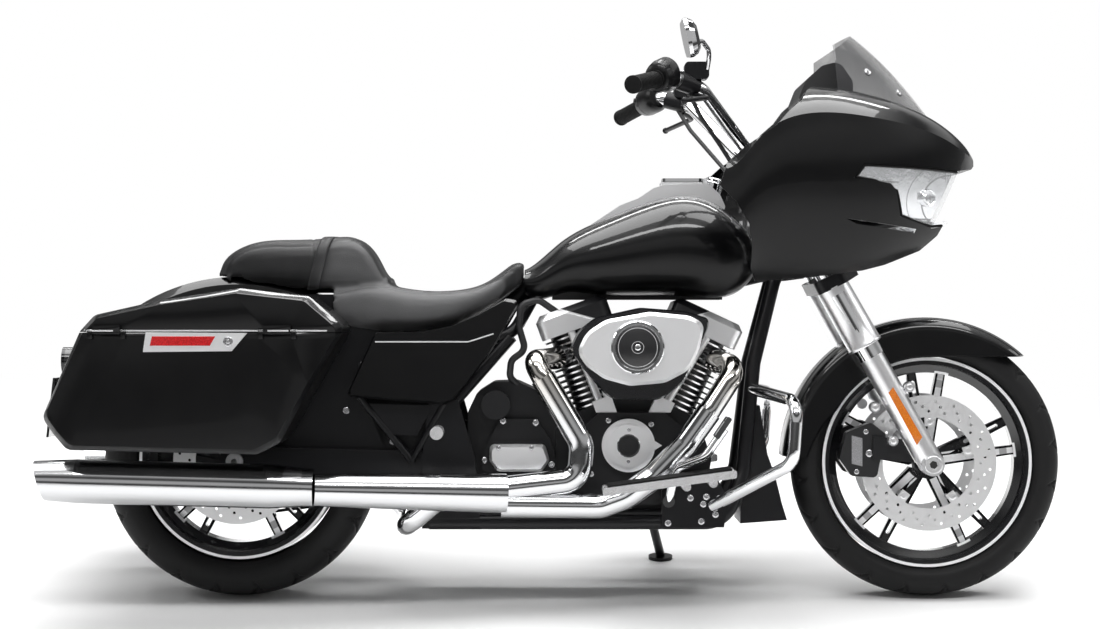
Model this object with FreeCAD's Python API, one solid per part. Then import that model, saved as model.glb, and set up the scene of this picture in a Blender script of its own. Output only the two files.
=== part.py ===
import FreeCAD, Part
import math
import os

V = FreeCAD.Vector
TURN = 360.0

# How it stands: leaned to its left on the side stand
LEAN = 9.0
OVERRUN = 12.0
CORNER_REACH_SHARE = 0.45
SEAT_GAP = 0.3
PIN_GAP = 0.5
MOVING_GAP = 5.0

# Wheels
WHEELBASE = 1625.0
FRONT_TYRE_RADIUS = 319.3
FRONT_TYRE_HALF_WIDE = 65.0
FRONT_BEAD_RADIUS = 239.0
REAR_TYRE_RADIUS = 327.6
REAR_TYRE_HALF_WIDE = 90.0
REAR_BEAD_RADIUS = 226.5
RIM_FLANGE = 9.0
RIM_WALL = 7.0
RIM_LIP_SHARE = 0.6
RIM_EDGE_SHARE = 0.55
RIM_SLOPE_SHARE = 0.4
RIM_CREASE_SHARE = 1.3
RIM_WELL = 20.0
HUB_RADIUS = 38.0
FRONT_HUB_HALF = 60.0
REAR_HUB_HALF = 84.0
HUB_BORE_GAP = 0.5
AXLE_RADIUS = 12.5
AXLE_BORE = 7.0
SPOKE_GROUPS = 5
SPOKE_PHASE = 7.5
SPOKE_SPREAD = 19.0
SPOKE_CORNER_SHARE = 0.2
SPOKE_SLOT_WIDE = 9.0
SPOKE_SLOT_START_SHARE = 0.5
SPOKE_SLOT_END_SHARE = 0.88
SECOND_SPOKE_SHARE = 0.84
SPOKE_ROOT_WIDE = 30.0
SPOKE_TIP_WIDE = 22.0
SPOKE_ROOT_DEEP = 46.0
SPOKE_TIP_DEEP = 28.0
DISC_RADIUS = 160.0
DISC_INNER = 108.0
DISC_THICK = 5.0
FRONT_DISC_SIDE = 74.0
DISC_BOLT_CIRCLE = 97.0
DISC_TAB_WIDE = 22.0
DISC_TAB_DEEP = 22.0
DISC_BOSS_RADIUS = 10.0
REAR_DISC_RADIUS = 150.0
REAR_DISC_INNER = 98.0
REAR_DISC_SIDE = 104.0
PULLEY_RADIUS = 140.0
PULLEY_INNER = 112.0
BELT_WIDE = 24.0
BELT_INNER_SIDE = 97.0
BELT_THICK = 6.0
BELT_GAP = 1.0
DRIVE_PULLEY_RADIUS = 62.0
DRIVE_PULLEY_X = 640.0
DRIVE_PULLEY_Z = 330.0

TYRE_OUT_SHARES = (
    (0.15, 0.74), (0.27, 0.92), (0.42, 1.0), (0.62, 0.96), (0.83, 0.75), (0.95, 0.42), (1.0, 0.0),
)
TYRE_IN_SHARES = (
    (0.0, 0.50), (0.2, 0.72), (0.4, 0.84), (0.6, 0.78), (0.76, 0.55), (0.82, 0.28), (0.84, 0.0),
)

# Steering
RAKE = 26.0
STEER_GROUND_X = 1795.0
HEAD_LOW = 880.0
HEAD_HIGH = 1034.0
HEAD_RADIUS = 34.0
STEM_RADIUS = 17.0
LEG_SIDE = 120.0
LEG_SLOPE = 0.56
LEG_TUBE_RADIUS = 24.5
COVER_RADIUS = 34.0
COVER_HIGH = 716.0
COVER_LOW = 570.0
SLIDER_RADIUS = 30.0
LEG_TOP = 985.0
LOWER_CLAMP_LOW = 832.0
UPPER_CLAMP_LOW = 1044.0
CLAMP_THICK = 30.0
CLAMP_WAIST_SHARE = 0.1
CLAMP_SHOULDER_SHARE = 1.6
CLAMP_CORNER_SHARE = 0.6

# Engine: crank centre, cylinder lean and finned barrels
CRANK_X = 927.0
CRANK_Z = 280.0
REAR_LEAN = 20.0
FRONT_LEAN = 25.0
CYLINDER_BASE = 195.3
FIN_START = 198.0
FIN_PITCH = 14.0
FIN_THICK = 4.0
FIN_COUNT = 13
FIN_RADIUS = 88.0
BARREL_RADIUS = 68.0
VALLEY_GAP = 4.0
HEAD_TOP = 378.0
ROCKER_TOP = 436.0
ROCKER_LONG = 176.0
ROCKER_WIDE = 230.0
ROCKER_BEND = 22.0
ROCKER_TAPER = 14.0
CASE_HALF_WIDE = 95.0
CASE_BACK = 747.0
CASE_LOW = 214.0
CASE_LONG = 365.0
CASE_TALL = 276.5
CASE_BOX = (CASE_BACK, CASE_LOW, CASE_LONG, CASE_TALL)
CASE_SHARES = (
    (0.104, 0.803), (0.518, 1.0), (0.918, 0.756), (1.0, 0.42), (0.967, 0.13), (0.803, 0.0),
    (0.145, 0.0), (0.0, 0.174), (0.0, 0.673),
)
CAM_CHEST_OUT = 138.0
CAM_CHEST_BACK = 800.0
CAM_CHEST_LOW = 226.0
CAM_CHEST_LONG = 252.0
CAM_CHEST_TALL = 214.0
CAM_CHEST_BOX = (CAM_CHEST_BACK, CAM_CHEST_LOW, CAM_CHEST_LONG, CAM_CHEST_TALL)
CAM_CHEST_SHARES = (
    (0.0, 0.168), (0.0, 0.813), (0.198, 1.0), (0.794, 1.0), (1.0, 0.804), (1.0, 0.168),
    (0.833, 0.0), (0.167, 0.0),
)
CAM_COVER_X = 915.4
CAM_COVER_Z = 364.2
CAM_COVER_RADIUS = 62.0
CAM_COVER_RIM = 49.0
CAM_COVER_OUT = 152.0
CAM_NOSE_OUT = 160.0
CAM_NOSE_LONG = 78.0
TAPPET_LONG = 46.0
TAPPET_OUT = 62.0
TAPPET_SHARE = 0.7
TAPPET_TALL = 34.0
PUSHROD_RADIUS = 9.0
PUSHROD_SIDE = 103.0
PUSHROD_SPREAD = 16.0
INTAKE_RADIUS = 16.0
INTAKE_X = 937.0
INTAKE_Z = 575.0
STARTER_X = 606.4
STARTER_Z = 457.7
STARTER_RADIUS = 34.0
AIR_CLEANER_IN = 150.0
AIR_CLEANER_OUT = 224.0
AIR_FACE_OUT = 232.0
AIR_RIM_BEND = 16.0
AIR_FACE_INSET = 16.0
AIR_DISC_X = 934.0
AIR_DISC_Z = 593.5
AIR_DISC_RADIUS = 51.0
AIR_RING_RADIUS = 62.0
AIR_DISC_OUT = 240.0
AIR_CORNER = 60.0
AIR_CLEANER_BACK = 776.6
AIR_CLEANER_LOW = 472.0
AIR_CLEANER_LONG = 321.4
AIR_CLEANER_TALL = 213.0
AIR_CLEANER_BOX = (AIR_CLEANER_BACK, AIR_CLEANER_LOW, AIR_CLEANER_LONG, AIR_CLEANER_TALL)
AIR_CLEANER_SHARES = (
    (0.0, 0.543), (0.06, 0.742), (0.185, 0.892), (0.507, 1.0), (0.838, 0.962), (0.999, 0.883),
    (1.0, 0.789), (0.919, 0.507), (0.82, 0.188), (0.658, 0.0), (0.297, 0.0), (0.185, 0.188),
    (0.073, 0.394),
)
AIR_FACE_BACK = 795.0
AIR_FACE_LOW = 505.0
AIR_FACE_LONG = 293.0
AIR_FACE_TALL = 170.0
AIR_FACE_BOX = (AIR_FACE_BACK, AIR_FACE_LOW, AIR_FACE_LONG, AIR_FACE_TALL)
AIR_FACE_SHARES = (
    (0.0, 0.459), (0.07, 0.718), (0.225, 0.894), (0.57, 1.0), (0.884, 0.947), (1.0, 0.841),
    (0.962, 0.512), (0.884, 0.218), (0.689, 0.041), (0.415, 0.0), (0.212, 0.094), (0.07, 0.271),
)
GEARBOX_BEND = 24.0
GEARBOX_BACK = 540.0
GEARBOX_LOW = 258.0
GEARBOX_LONG = 206.0
GEARBOX_TALL = 254.0
GEARBOX_BOX = (GEARBOX_BACK, GEARBOX_LOW, GEARBOX_LONG, GEARBOX_TALL)
GEARBOX_SHARES = (
    (0.0, 0.0), (0.0, 0.717), (0.107, 0.898), (0.291, 0.992), (0.558, 1.0), (0.796, 0.913),
    (1.0, 0.701), (1.0, 0.0),
)
GEARBOX_COVER_OUT = 150.0
GEARBOX_COVER_BACK = 592.0
GEARBOX_COVER_LOW = 303.0
GEARBOX_COVER_LONG = 140.0
GEARBOX_COVER_TALL = 63.0
GEARBOX_COVER_BOX = (GEARBOX_COVER_BACK, GEARBOX_COVER_LOW, GEARBOX_COVER_LONG, GEARBOX_COVER_TALL)
GEARBOX_COVER_SHARES = (
    (0.0, 0.397), (0.0, 1.0), (0.921, 1.0), (1.0, 0.397), (0.871, 0.0), (0.129, 0.0),
)
GEARBOX_PLATE_OUT = 112.0
GEARBOX_PLATE_BACK = 573.0
GEARBOX_PLATE_LOW = 290.0
GEARBOX_PLATE_LONG = 176.0
GEARBOX_PLATE_TALL = 134.0
GEARBOX_PLATE_BOX = (GEARBOX_PLATE_BACK, GEARBOX_PLATE_LOW, GEARBOX_PLATE_LONG, GEARBOX_PLATE_TALL)
GEARBOX_PLATE_SHARES = (
    (0.0, 0.075), (0.0, 0.351), (0.244, 1.0), (0.722, 1.0), (0.92, 0.634), (1.0, 0.216),
    (0.949, 0.0),
)
PRIMARY_OUT = 158.0
PRIMARY_REAR_X = 690.0
PRIMARY_REAR_RADIUS = 104.0
PRIMARY_FRONT_RADIUS = 98.0
PRIMARY_NECK_SHARE = 0.7
PRIMARY_Z = 310.0
PRIMARY_DOME = 8.0

# Frame
RAIL_RADIUS = 17.0
BACKBONE_RADIUS = 22.0
SEAT_RAIL_RADIUS = 14.0
FRAME_BEND = 70.0
DOWN_TUBE_X = 452.0
DOWN_TUBE_Y = 24.0
DOWN_TUBE_Z = 186.0
DOWN_TUBE_LONG = 940.0
DOWN_TUBE_WIDE = 126.0
DOWN_TUBE_TALL = 646.0
DOWN_TUBE_BOX = (
    (DOWN_TUBE_X, DOWN_TUBE_Y, DOWN_TUBE_Z), (DOWN_TUBE_LONG, DOWN_TUBE_WIDE, DOWN_TUBE_TALL)
)
DOWN_TUBE_SHARES = (
    (1.0, 0.0, 1.0), (0.868, 0.111, 0.904), (0.809, 0.397, 0.571), (0.779, 0.746, 0.176),
    (0.732, 1.0, 0.0), (0.0, 1.0, 0.0),
)
BACKBONE_X = 604.0
BACKBONE_Y = 0.0
BACKBONE_Z = 664.0
BACKBONE_LONG = 788.0
BACKBONE_WIDE = 0.0
BACKBONE_TALL = 142.0
BACKBONE_BOX = ((BACKBONE_X, BACKBONE_Y, BACKBONE_Z), (BACKBONE_LONG, BACKBONE_WIDE, BACKBONE_TALL))
BACKBONE_SHARES = (
    (1.0, 0.0, 1.0), (0.744, 0.0, 0.655), (0.109, 0.0, 0.592), (0.0, 0.0, 0.0),
)
SEAT_RAIL_X = 380.0
SEAT_RAIL_Y = 14.0
SEAT_RAIL_Z = 612.0
SEAT_RAIL_LONG = 332.0
SEAT_RAIL_WIDE = 82.0
SEAT_RAIL_TALL = 130.0
SEAT_RAIL_BOX = (
    (SEAT_RAIL_X, SEAT_RAIL_Y, SEAT_RAIL_Z), (SEAT_RAIL_LONG, SEAT_RAIL_WIDE, SEAT_RAIL_TALL)
)
SEAT_RAIL_SHARES = (
    (1.0, 0.0, 1.0), (0.783, 1.0, 0.015), (0.12, 1.0, 0.0), (0.0, 1.0, 0.369),
)
PIVOT_PLATE_IN = 152.0
PIVOT_PLATE_OUT = 164.0
PIVOT_PLATE_BACK = 436.0
PIVOT_PLATE_LOW = 172.0
PIVOT_PLATE_LONG = 136.0
PIVOT_PLATE_TALL = 298.0
PIVOT_PLATE_BOX = (PIVOT_PLATE_BACK, PIVOT_PLATE_LOW, PIVOT_PLATE_LONG, PIVOT_PLATE_TALL)
PIVOT_PLATE_SHARES = (
    (0.0, 0.0), (0.0, 0.53), (0.118, 1.0), (0.618, 1.0), (0.912, 0.53), (1.0, 0.0),
)
PIVOT_X = 500.0
PIVOT_Z = 318.0
PIVOT_RADIUS = 14.0
CROSS_RADIUS = 15.0
BRACKET_LINK_SHARE = 0.6
FOOT_BRACKET_IN = 168.0
FOOT_BRACKET_OUT = 176.0
FOOT_BRACKET_BACK = 992.0
FOOT_BRACKET_LOW = 176.0
FOOT_BRACKET_LONG = 154.0
FOOT_BRACKET_TALL = 130.0
FOOT_BRACKET_BOX = (FOOT_BRACKET_BACK, FOOT_BRACKET_LOW, FOOT_BRACKET_LONG, FOOT_BRACKET_TALL)
FOOT_BRACKET_SHARES = (
    (0.0, 0.0), (0.0, 0.662), (0.247, 0.969), (0.779, 1.0), (1.0, 0.492), (0.935, 0.0),
)

# Swingarm and shock
ARM_IN = 128.0
ARM_OUT = 150.0
ARM_BACK = -34.0
ARM_LOW = 286.0
ARM_LONG = 562.0
ARM_TALL = 76.0
ARM_BOX = (ARM_BACK, ARM_LOW, ARM_LONG, ARM_TALL)
ARM_SHARES = (
    (0.0, 0.237), (0.0, 0.868), (0.096, 1.0), (0.808, 0.868), (1.0, 0.763), (1.0, 0.079),
    (0.808, 0.0), (0.096, 0.105),
)
SWING_CROSS_X = 430.0
SWING_CROSS_RADIUS = 22.0
REAR_AXLE_HALF = 168.0
REAR_SPACER_RADIUS = 20.0
SHOCK_RADIUS = 30.0
SHOCK_ROD_RADIUS = 11.0
SHOCK_MOUNT_SHARE = 1.5
SHOCK_BODY_SHARES = (0.2, 0.9)
SHOCK_X = 452.0
SHOCK_Y = 0.0
SHOCK_Z = 352.0
SHOCK_LONG = 68.0
SHOCK_WIDE = 0.0
SHOCK_TALL = 288.0
SHOCK_BOX = ((SHOCK_X, SHOCK_Y, SHOCK_Z), (SHOCK_LONG, SHOCK_WIDE, SHOCK_TALL))
SHOCK_SHARES = (
    (0.0, 0.0, 0.0), (1.0, 0.0, 1.0),
)

# Exhaust
MUFFLER_SIDE = 300.0
MUFFLER_RADIUS = 50.0
MUFFLER_NECK_SHARE = 0.9
MUFFLER_THROAT_SHARE = 0.7
MUFFLER_TIP_RADIUS = 44.0
MUFFLER_REAR_X = -439.0
MUFFLER_REAR_Z = 294.0
MUFFLER_FRONT_X = 198.0
MUFFLER_FRONT_Z = 277.0
MUFFLER_CUT = 34.0
MUFFLER_MOUTH = 130.0
HEADER_RADIUS = 26.0
PORT_SHARE = 0.9
SHIELD_RADIUS = 29.0
COLLECTOR_REAR_RADIUS = 37.0
COLLECTOR_FRONT_RADIUS = 46.0
HEADER_BEND = 60.0
REAR_HEADER_X = 620.0
REAR_HEADER_Y = -222.0
REAR_HEADER_Z = 268.0
REAR_HEADER_LONG = 186.0
REAR_HEADER_WIDE = 130.0
REAR_HEADER_TALL = 298.0
REAR_HEADER_BOX = (
    (REAR_HEADER_X, REAR_HEADER_Y, REAR_HEADER_Z), (REAR_HEADER_LONG, REAR_HEADER_WIDE, REAR_HEADER_TALL)
)
REAR_HEADER_SHARES = (
    (0.688, 1.0, 1.0), (0.409, 0.169, 0.987), (0.516, 0.062, 0.859), (1.0, 0.062, 0.349),
    (0.968, 0.062, 0.067), (0.0, 0.0, 0.0),
)
FRONT_HEADER_X = 620.0
FRONT_HEADER_Y = -222.0
FRONT_HEADER_Z = 228.0
FRONT_HEADER_LONG = 548.0
FRONT_HEADER_WIDE = 130.0
FRONT_HEADER_TALL = 332.0
FRONT_HEADER_BOX = (
    (FRONT_HEADER_X, FRONT_HEADER_Y, FRONT_HEADER_Z),
    (FRONT_HEADER_LONG, FRONT_HEADER_WIDE, FRONT_HEADER_TALL),
)
FRONT_HEADER_SHARES = (
    (0.912, 1.0, 1.0), (1.0, 0.323, 0.964), (0.876, 0.123, 0.657), (0.777, 0.123, 0.428),
    (0.648, 0.123, 0.205), (0.52, 0.123, 0.06), (0.42, 0.123, 0.0), (0.0, 0.0, 0.012),
)
COLLECTOR_X = 198.0
COLLECTOR_Y = -300.0
COLLECTOR_Z = 258.0
COLLECTOR_LONG = 433.0
COLLECTOR_WIDE = 74.0
COLLECTOR_TALL = 14.0
COLLECTOR_BOX = (
    (COLLECTOR_X, COLLECTOR_Y, COLLECTOR_Z), (COLLECTOR_LONG, COLLECTOR_WIDE, COLLECTOR_TALL)
)
COLLECTOR_SHARES = (
    (0.0, 0.0, 1.0), (1.0, 1.0, 0.0),
)
CROSSOVER_RADIUS = 24.0
CROSSOVER_X = 198.0
CROSSOVER_Y = -245.0
CROSSOVER_Z = 176.0
CROSSOVER_LONG = 302.0
CROSSOVER_WIDE = 545.0
CROSSOVER_TALL = 96.0
CROSSOVER_BOX = (
    (CROSSOVER_X, CROSSOVER_Y, CROSSOVER_Z), (CROSSOVER_LONG, CROSSOVER_WIDE, CROSSOVER_TALL)
)
CROSSOVER_SHARES = (
    (1.0, 0.0, 0.896), (0.669, 0.119, 0.042), (0.642, 0.725, 0.0), (0.437, 0.908, 0.562),
    (0.0, 1.0, 1.0),
)

# Tank, console and fuel door
TANK_BACK = 673.0
TANK_LOW = 712.0
TANK_LONG = 544.0
TANK_TALL = 240.0
TANK_HALF_WIDE = 165.0
TANK_BOX = (TANK_BACK, TANK_LOW, TANK_LONG, TANK_TALL, TANK_HALF_WIDE)
TANK_SHARES = (
    (0.0, 0.576, 0.033, 0.263), (0.154, 0.764, 0.025, 0.533), (0.329, 0.909, 0.017, 0.75),
    (0.506, 0.988, 0.008, 0.912), (0.724, 1.0, 0.0, 1.0), (0.877, 0.897, 0.0, 0.854),
    (0.961, 0.715, 0.108, 0.667), (1.0, 0.509, 0.217, 0.525),
)
TUNNEL_HALF = 30.0
TUNNEL_HIGH = 790.0
CONSOLE_HALF = 46.0
CONSOLE_BEND = 14.0
CONSOLE_BACK = 800.0
CONSOLE_LOW = 850.0
CONSOLE_LONG = 354.0
CONSOLE_TALL = 130.0
CONSOLE_BOX = (CONSOLE_BACK, CONSOLE_LOW, CONSOLE_LONG, CONSOLE_TALL)
CONSOLE_SHARES = (
    (0.0, 0.092), (0.282, 0.6), (0.401, 0.723), (0.503, 0.908), (0.571, 0.969), (0.847, 1.0),
    (0.881, 0.969), (0.949, 0.792), (1.0, 0.485), (0.754, 0.385), (0.147, 0.0),
)
DOOR_BACK = 1000.0
DOOR_LONG = 96.0
DOOR_HALF = 40.0
DOOR_THICK = 8.0
DOOR_UNDER = 984.0
DOOR_LIFT = 1.0
DOOR_BEND = 10.0
FILLER_BACK = 1008.0
FILLER_LONG = 74.0
FILLER_HALF = 32.0
FILLER_FLOOR = 958.0
FILLER_CAP_RADIUS = 24.0
FILLER_CAP_TALL = 14.0
HINGE_RADIUS = 5.0
HINGE_PIN_RADIUS = 2.5
DOOR_HINGE_LONG = 40.0

# Seat and side covers
SEAT_FORM_SHARES = (
    (0.0, 0.0), (0.55, 0.0), (0.86, 0.03), (0.98, 0.2), (1.0, 0.5), (0.95, 0.8), (0.75, 0.96),
    (0.4, 1.0), (0.0, 1.0),
)
TANK_FORM_SHARES = (
    (0.0, 0.0), (0.45, 0.0), (0.76, 0.06), (0.96, 0.28), (1.0, 0.5), (0.92, 0.74), (0.7, 0.91),
    (0.38, 0.985), (0.0, 1.0),
)
RIDER_SEAT_BACK = 226.0
RIDER_SEAT_LOW = 632.0
RIDER_SEAT_LONG = 446.5
RIDER_SEAT_TALL = 163.0
RIDER_SEAT_HALF_WIDE = 178.0
RIDER_SEAT_BOX = (RIDER_SEAT_BACK, RIDER_SEAT_LOW, RIDER_SEAT_LONG, RIDER_SEAT_TALL, RIDER_SEAT_HALF_WIDE)
RIDER_SEAT_SHARES = (
    (0.0, 0.843, 0.049, 0.663), (0.166, 0.933, 0.006, 0.687), (0.323, 0.989, 0.0, 0.632),
    (0.479, 1.0, 0.018, 0.571), (0.636, 0.955, 0.098, 0.577), (0.793, 0.82, 0.282, 0.687),
    (0.905, 0.663, 0.491, 0.92), (1.0, 0.494, 0.675, 1.0),
)
PILLION_BACK = -50.0
PILLION_LOW = 726.0
PILLION_LONG = 410.0
PILLION_TALL = 124.0
PILLION_HALF_WIDE = 142.0
PILLION_BOX = (PILLION_BACK, PILLION_LOW, PILLION_LONG, PILLION_TALL, PILLION_HALF_WIDE)
PILLION_SHARES = (
    (0.0, 0.676, 0.0, 0.306), (0.073, 0.859, 0.0, 0.694), (0.195, 0.944, 0.0, 0.887),
    (0.415, 0.986, 0.0, 0.96), (0.659, 1.0, 0.0, 1.0), (0.817, 0.986, 0.0, 0.968),
    (0.915, 0.93, 0.0, 0.597), (1.0, 0.831, 0.016, 0.21),
)
SIDE_COVER_IN = 168.0
SIDE_COVER_OUT = 204.0
SIDE_COVER_BEND = 18.0
SIDE_COVER_BACK = 262.0
SIDE_COVER_LOW = 461.0
SIDE_COVER_LONG = 402.0
SIDE_COVER_TALL = 245.0
SIDE_COVER_BOX = (SIDE_COVER_BACK, SIDE_COVER_LOW, SIDE_COVER_LONG, SIDE_COVER_TALL)
SIDE_COVER_SHARES = (
    (0.167, 0.682), (0.443, 0.69), (0.604, 0.743), (0.771, 0.861), (0.92, 1.0), (1.0, 0.976),
    (0.836, 0.506), (0.682, 0.163), (0.614, 0.033), (0.562, 0.0), (0.0, 0.073),
)
BATTERY_HALF = 150.0
BATTERY_BACK = 452.0
BATTERY_LOW = 478.0
BATTERY_LONG = 82.0
BATTERY_TALL = 112.0
BATTERY_BOX = (BATTERY_BACK, BATTERY_LOW, BATTERY_LONG, BATTERY_TALL)
BATTERY_SHARES = (
    (0.0, 0.0), (0.0, 1.0), (1.0, 1.0), (0.902, 0.0),
)
COVER_POST_RADIUS = 10.0

# Rear fender, lamps and plate bracket
FENDER_RADIUS = 430.0
FENDER_WALL = 6.0
FENDER_HALF = 118.0
FENDER_CLEAR = 60.0
FENDER_SIDE_RADIUS = 350.0
FENDER_START = 38.0
FENDER_SWEEP = 118.0
TAIL_LAMP_RADIUS = 32.0
TAIL_LAMP_SIDE = 78.0
TAIL_LAMP_LONG = 34.0
TAIL_LAMP_Z = 560.0
PLATE_BACK = -452.0
PLATE_LOW = 380.0
PLATE_LONG = 22.0
PLATE_TALL = 140.0
PLATE_BOX = (PLATE_BACK, PLATE_LOW, PLATE_LONG, PLATE_TALL)
PLATE_SHARES = (
    (0.0, 0.0), (0.273, 0.0), (1.0, 1.0), (0.727, 1.0),
)
PLATE_HALF = 88.0

# Saddlebags and lids
BAG_IN = 176.0
BAG_OUT = 430.0
BAG_WALL = 5.0
BAG_BEND = 26.0
BAG_ROUND = 24.0
BAG_BACK = -395.0
BAG_LOW = 358.0
BAG_LONG = 673.0
BAG_TALL = 369.6
BAG_BOX = (BAG_BACK, BAG_LOW, BAG_LONG, BAG_TALL)
BAG_SHARES = (
    (0.125, 0.741), (0.0, 0.222), (0.037, 0.124), (0.082, 0.027), (0.71, 0.0), (0.785, 0.073),
    (0.892, 0.425), (1.0, 0.763), (0.881, 0.952), (0.651, 1.0), (0.391, 0.928), (0.174, 0.839),
)
LID_GAP = 1.5
LID_WALL = 4.0
LID_HINGE_LONG = 60.0
LID_HINGE_X_SHARES = (0.22, 0.78)
REFLECTOR_BACK = -166.0
REFLECTOR_LOW = 586.0
REFLECTOR_LONG = 230.0
REFLECTOR_TALL = 44.0
REFLECTOR_BOX = (REFLECTOR_BACK, REFLECTOR_LOW, REFLECTOR_LONG, REFLECTOR_TALL)
REFLECTOR_SHARES = (
    (0.026, 1.0), (0.0, 0.0), (0.852, 0.045), (1.0, 0.955),
)
REFLECTOR_THICK = 6.0
BRACKET_RADIUS = 9.0
NOSE_BEAM_SHARE = 1.6
BAG_BRACKET_BACK = -250.0
BAG_BRACKET_FRONT = 228.0
BAG_BRACKET_Z = 600.0

# Middle of the frame
MID_PANEL_IN = 158.0
MID_PANEL_OUT = 166.0
MID_PANEL_BACK = 313.0
MID_PANEL_LOW = 388.0
MID_PANEL_LONG = 149.0
MID_PANEL_TALL = 74.0
MID_PANEL_BOX = (MID_PANEL_BACK, MID_PANEL_LOW, MID_PANEL_LONG, MID_PANEL_TALL)
MID_PANEL_SHARES = (
    (0.0, 1.0), (1.0, 0.946), (0.745, 0.0), (0.389, 0.027),
)
MID_TUBE_RADIUS = 8.5
MID_TUBES_X = 291.0
MID_TUBES_Y = 159.0
MID_TUBES_Z = 330.0
MID_TUBES_LONG = 195.0
MID_TUBES_WIDE = 0.0
MID_TUBES_TALL = 148.0
MID_TUBES_BOX = (
    (MID_TUBES_X, MID_TUBES_Y, MID_TUBES_Z), (MID_TUBES_LONG, MID_TUBES_WIDE, MID_TUBES_TALL)
)
MID_TUBES_SHARES = (
    (0.0, 0.0, 1.0), (0.621, 0.0, 0.0), (1.0, 0.0, 0.892),
)

# Cables and hoses
CABLE_BEND = 46.0
BAR_CABLE_X = 1050.0
BAR_CABLE_Y = 44.0
BAR_CABLE_Z = 962.0
BAR_CABLE_LONG = 212.0
BAR_CABLE_WIDE = 192.0
BAR_CABLE_TALL = 216.0
BAR_CABLE_BOX = (
    (BAR_CABLE_X, BAR_CABLE_Y, BAR_CABLE_Z), (BAR_CABLE_LONG, BAR_CABLE_WIDE, BAR_CABLE_TALL)
)
BAR_CABLE_SHARES = (
    (0.0, 1.0, 1.0), (0.142, 0.844, 0.75), (0.368, 0.604, 0.463), (0.538, 0.354, 0.241),
    (1.0, 0.0, 0.0),
)
HOSE_RADIUS = 8.0
BREATHER_HOSE_X = 638.0
BREATHER_HOSE_Y = -104.0
BREATHER_HOSE_Z = 498.0
BREATHER_HOSE_LONG = 114.0
BREATHER_HOSE_WIDE = 20.0
BREATHER_HOSE_TALL = 206.0
BREATHER_HOSE_BOX = (
    (BREATHER_HOSE_X, BREATHER_HOSE_Y, BREATHER_HOSE_Z),
    (BREATHER_HOSE_LONG, BREATHER_HOSE_WIDE, BREATHER_HOSE_TALL),
)
BREATHER_HOSE_SHARES = (
    (0.228, 1.0, 0.0), (0.0, 0.4, 0.117), (0.035, 0.0, 0.311), (0.333, 0.0, 0.427),
    (0.193, 0.0, 0.689), (0.228, 0.1, 0.942), (0.596, 0.3, 1.0), (1.0, 0.6, 0.845),
)

# Fairing and windscreen
FAIRING_WALL = 5.0
FAIRING_FORM_SHARES = (
    (0.0, 0.0), (0.42, 0.02), (0.76, 0.13), (0.93, 0.32), (1.0, 0.56), (1.0, 0.72), (0.985, 0.83),
)
FAIRING_DECK_SHARES = ((0.985, 0.83), (0.88, 0.905), (0.7, 0.955), (0.36, 0.99), (0.0, 1.0))
FAIRING_BACK = 1060.0
FAIRING_LOW = 700.0
FAIRING_LONG = 674.0
FAIRING_TALL = 504.0
FAIRING_HALF_WIDE = 404.0
FAIRING_BOX = (FAIRING_BACK, FAIRING_LOW, FAIRING_LONG, FAIRING_TALL, FAIRING_HALF_WIDE)
FAIRING_SHARES = (
    (0.0, 0.98, 0.0, 0.786), (0.208, 1.0, 0.0, 0.869), (0.415, 0.985, 0.012, 1.0),
    (0.593, 0.926, 0.052, 0.968), (0.742, 0.802, 0.131, 0.909), (0.861, 0.629, 0.21, 0.833),
    (0.95, 0.396, 0.341, 0.746), (1.0, 0.139, 0.548, 0.679),
)
FAIRING_SIDE_BACK = 1110.0
FAIRING_SIDE_LOW = 745.0
FAIRING_SIDE_LONG = 650.0
FAIRING_SIDE_TALL = 470.0
FAIRING_SIDE_BOX = (FAIRING_SIDE_BACK, FAIRING_SIDE_LOW, FAIRING_SIDE_LONG, FAIRING_SIDE_TALL)
FAIRING_SIDE_SHARES = (
    (0.0, 0.451), (0.028, 0.56), (0.088, 0.634), (0.195, 0.734), (0.245, 0.811), (0.289, 0.864),
    (0.314, 0.917), (0.349, 0.96), (0.369, 1.0), (0.772, 1.0), (1.0, 0.798), (1.0, 0.5),
    (0.815, 0.291), (0.788, 0.223), (0.725, 0.149), (0.595, 0.079), (0.514, 0.051), (0.325, 0.017),
    (0.135, 0.0), (0.114, 0.06), (0.115, 0.16), (0.103, 0.268), (0.058, 0.368),
)
NOSE_NOTCH_BACK = 1615.0
NOSE_NOTCH_LOW = 878.0
NOSE_NOTCH_LONG = 185.0
NOSE_NOTCH_TALL = 144.0
NOSE_NOTCH_BOX = (NOSE_NOTCH_BACK, NOSE_NOTCH_LOW, NOSE_NOTCH_LONG, NOSE_NOTCH_TALL)
NOSE_NOTCH_SHARES = (
    (1.0, 1.0), (0.665, 1.0), (0.578, 0.91), (0.335, 0.847), (0.0, 0.0), (0.243, 0.021),
    (1.0, 0.021),
)
VENT_BACK = 1395.0
VENT_LOW = 854.0
VENT_LONG = 171.0
VENT_TALL = 30.0
VENT_BOX = (VENT_BACK, VENT_LOW, VENT_LONG, VENT_TALL)
VENT_SHARES = (
    (0.0, 1.0), (1.0, 0.3), (0.977, 0.0), (0.146, 0.6),
)
FORK_WELL_HALF = 190.0
FORK_WELL_BACK = 1180.0
FORK_WELL_FRONT = 1600.0
FORK_WELL_HIGH = 940.0
DASH_LOW = 1004.0
DASH_HIGH = 1186.0
DASH_PLAN_BACK = 1236.0
DASH_PLAN_LOW = -380.0
DASH_PLAN_LONG = 160.0
DASH_PLAN_TALL = 760.0
DASH_PLAN_BOX = (DASH_PLAN_BACK, DASH_PLAN_LOW, DASH_PLAN_LONG, DASH_PLAN_TALL)
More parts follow.
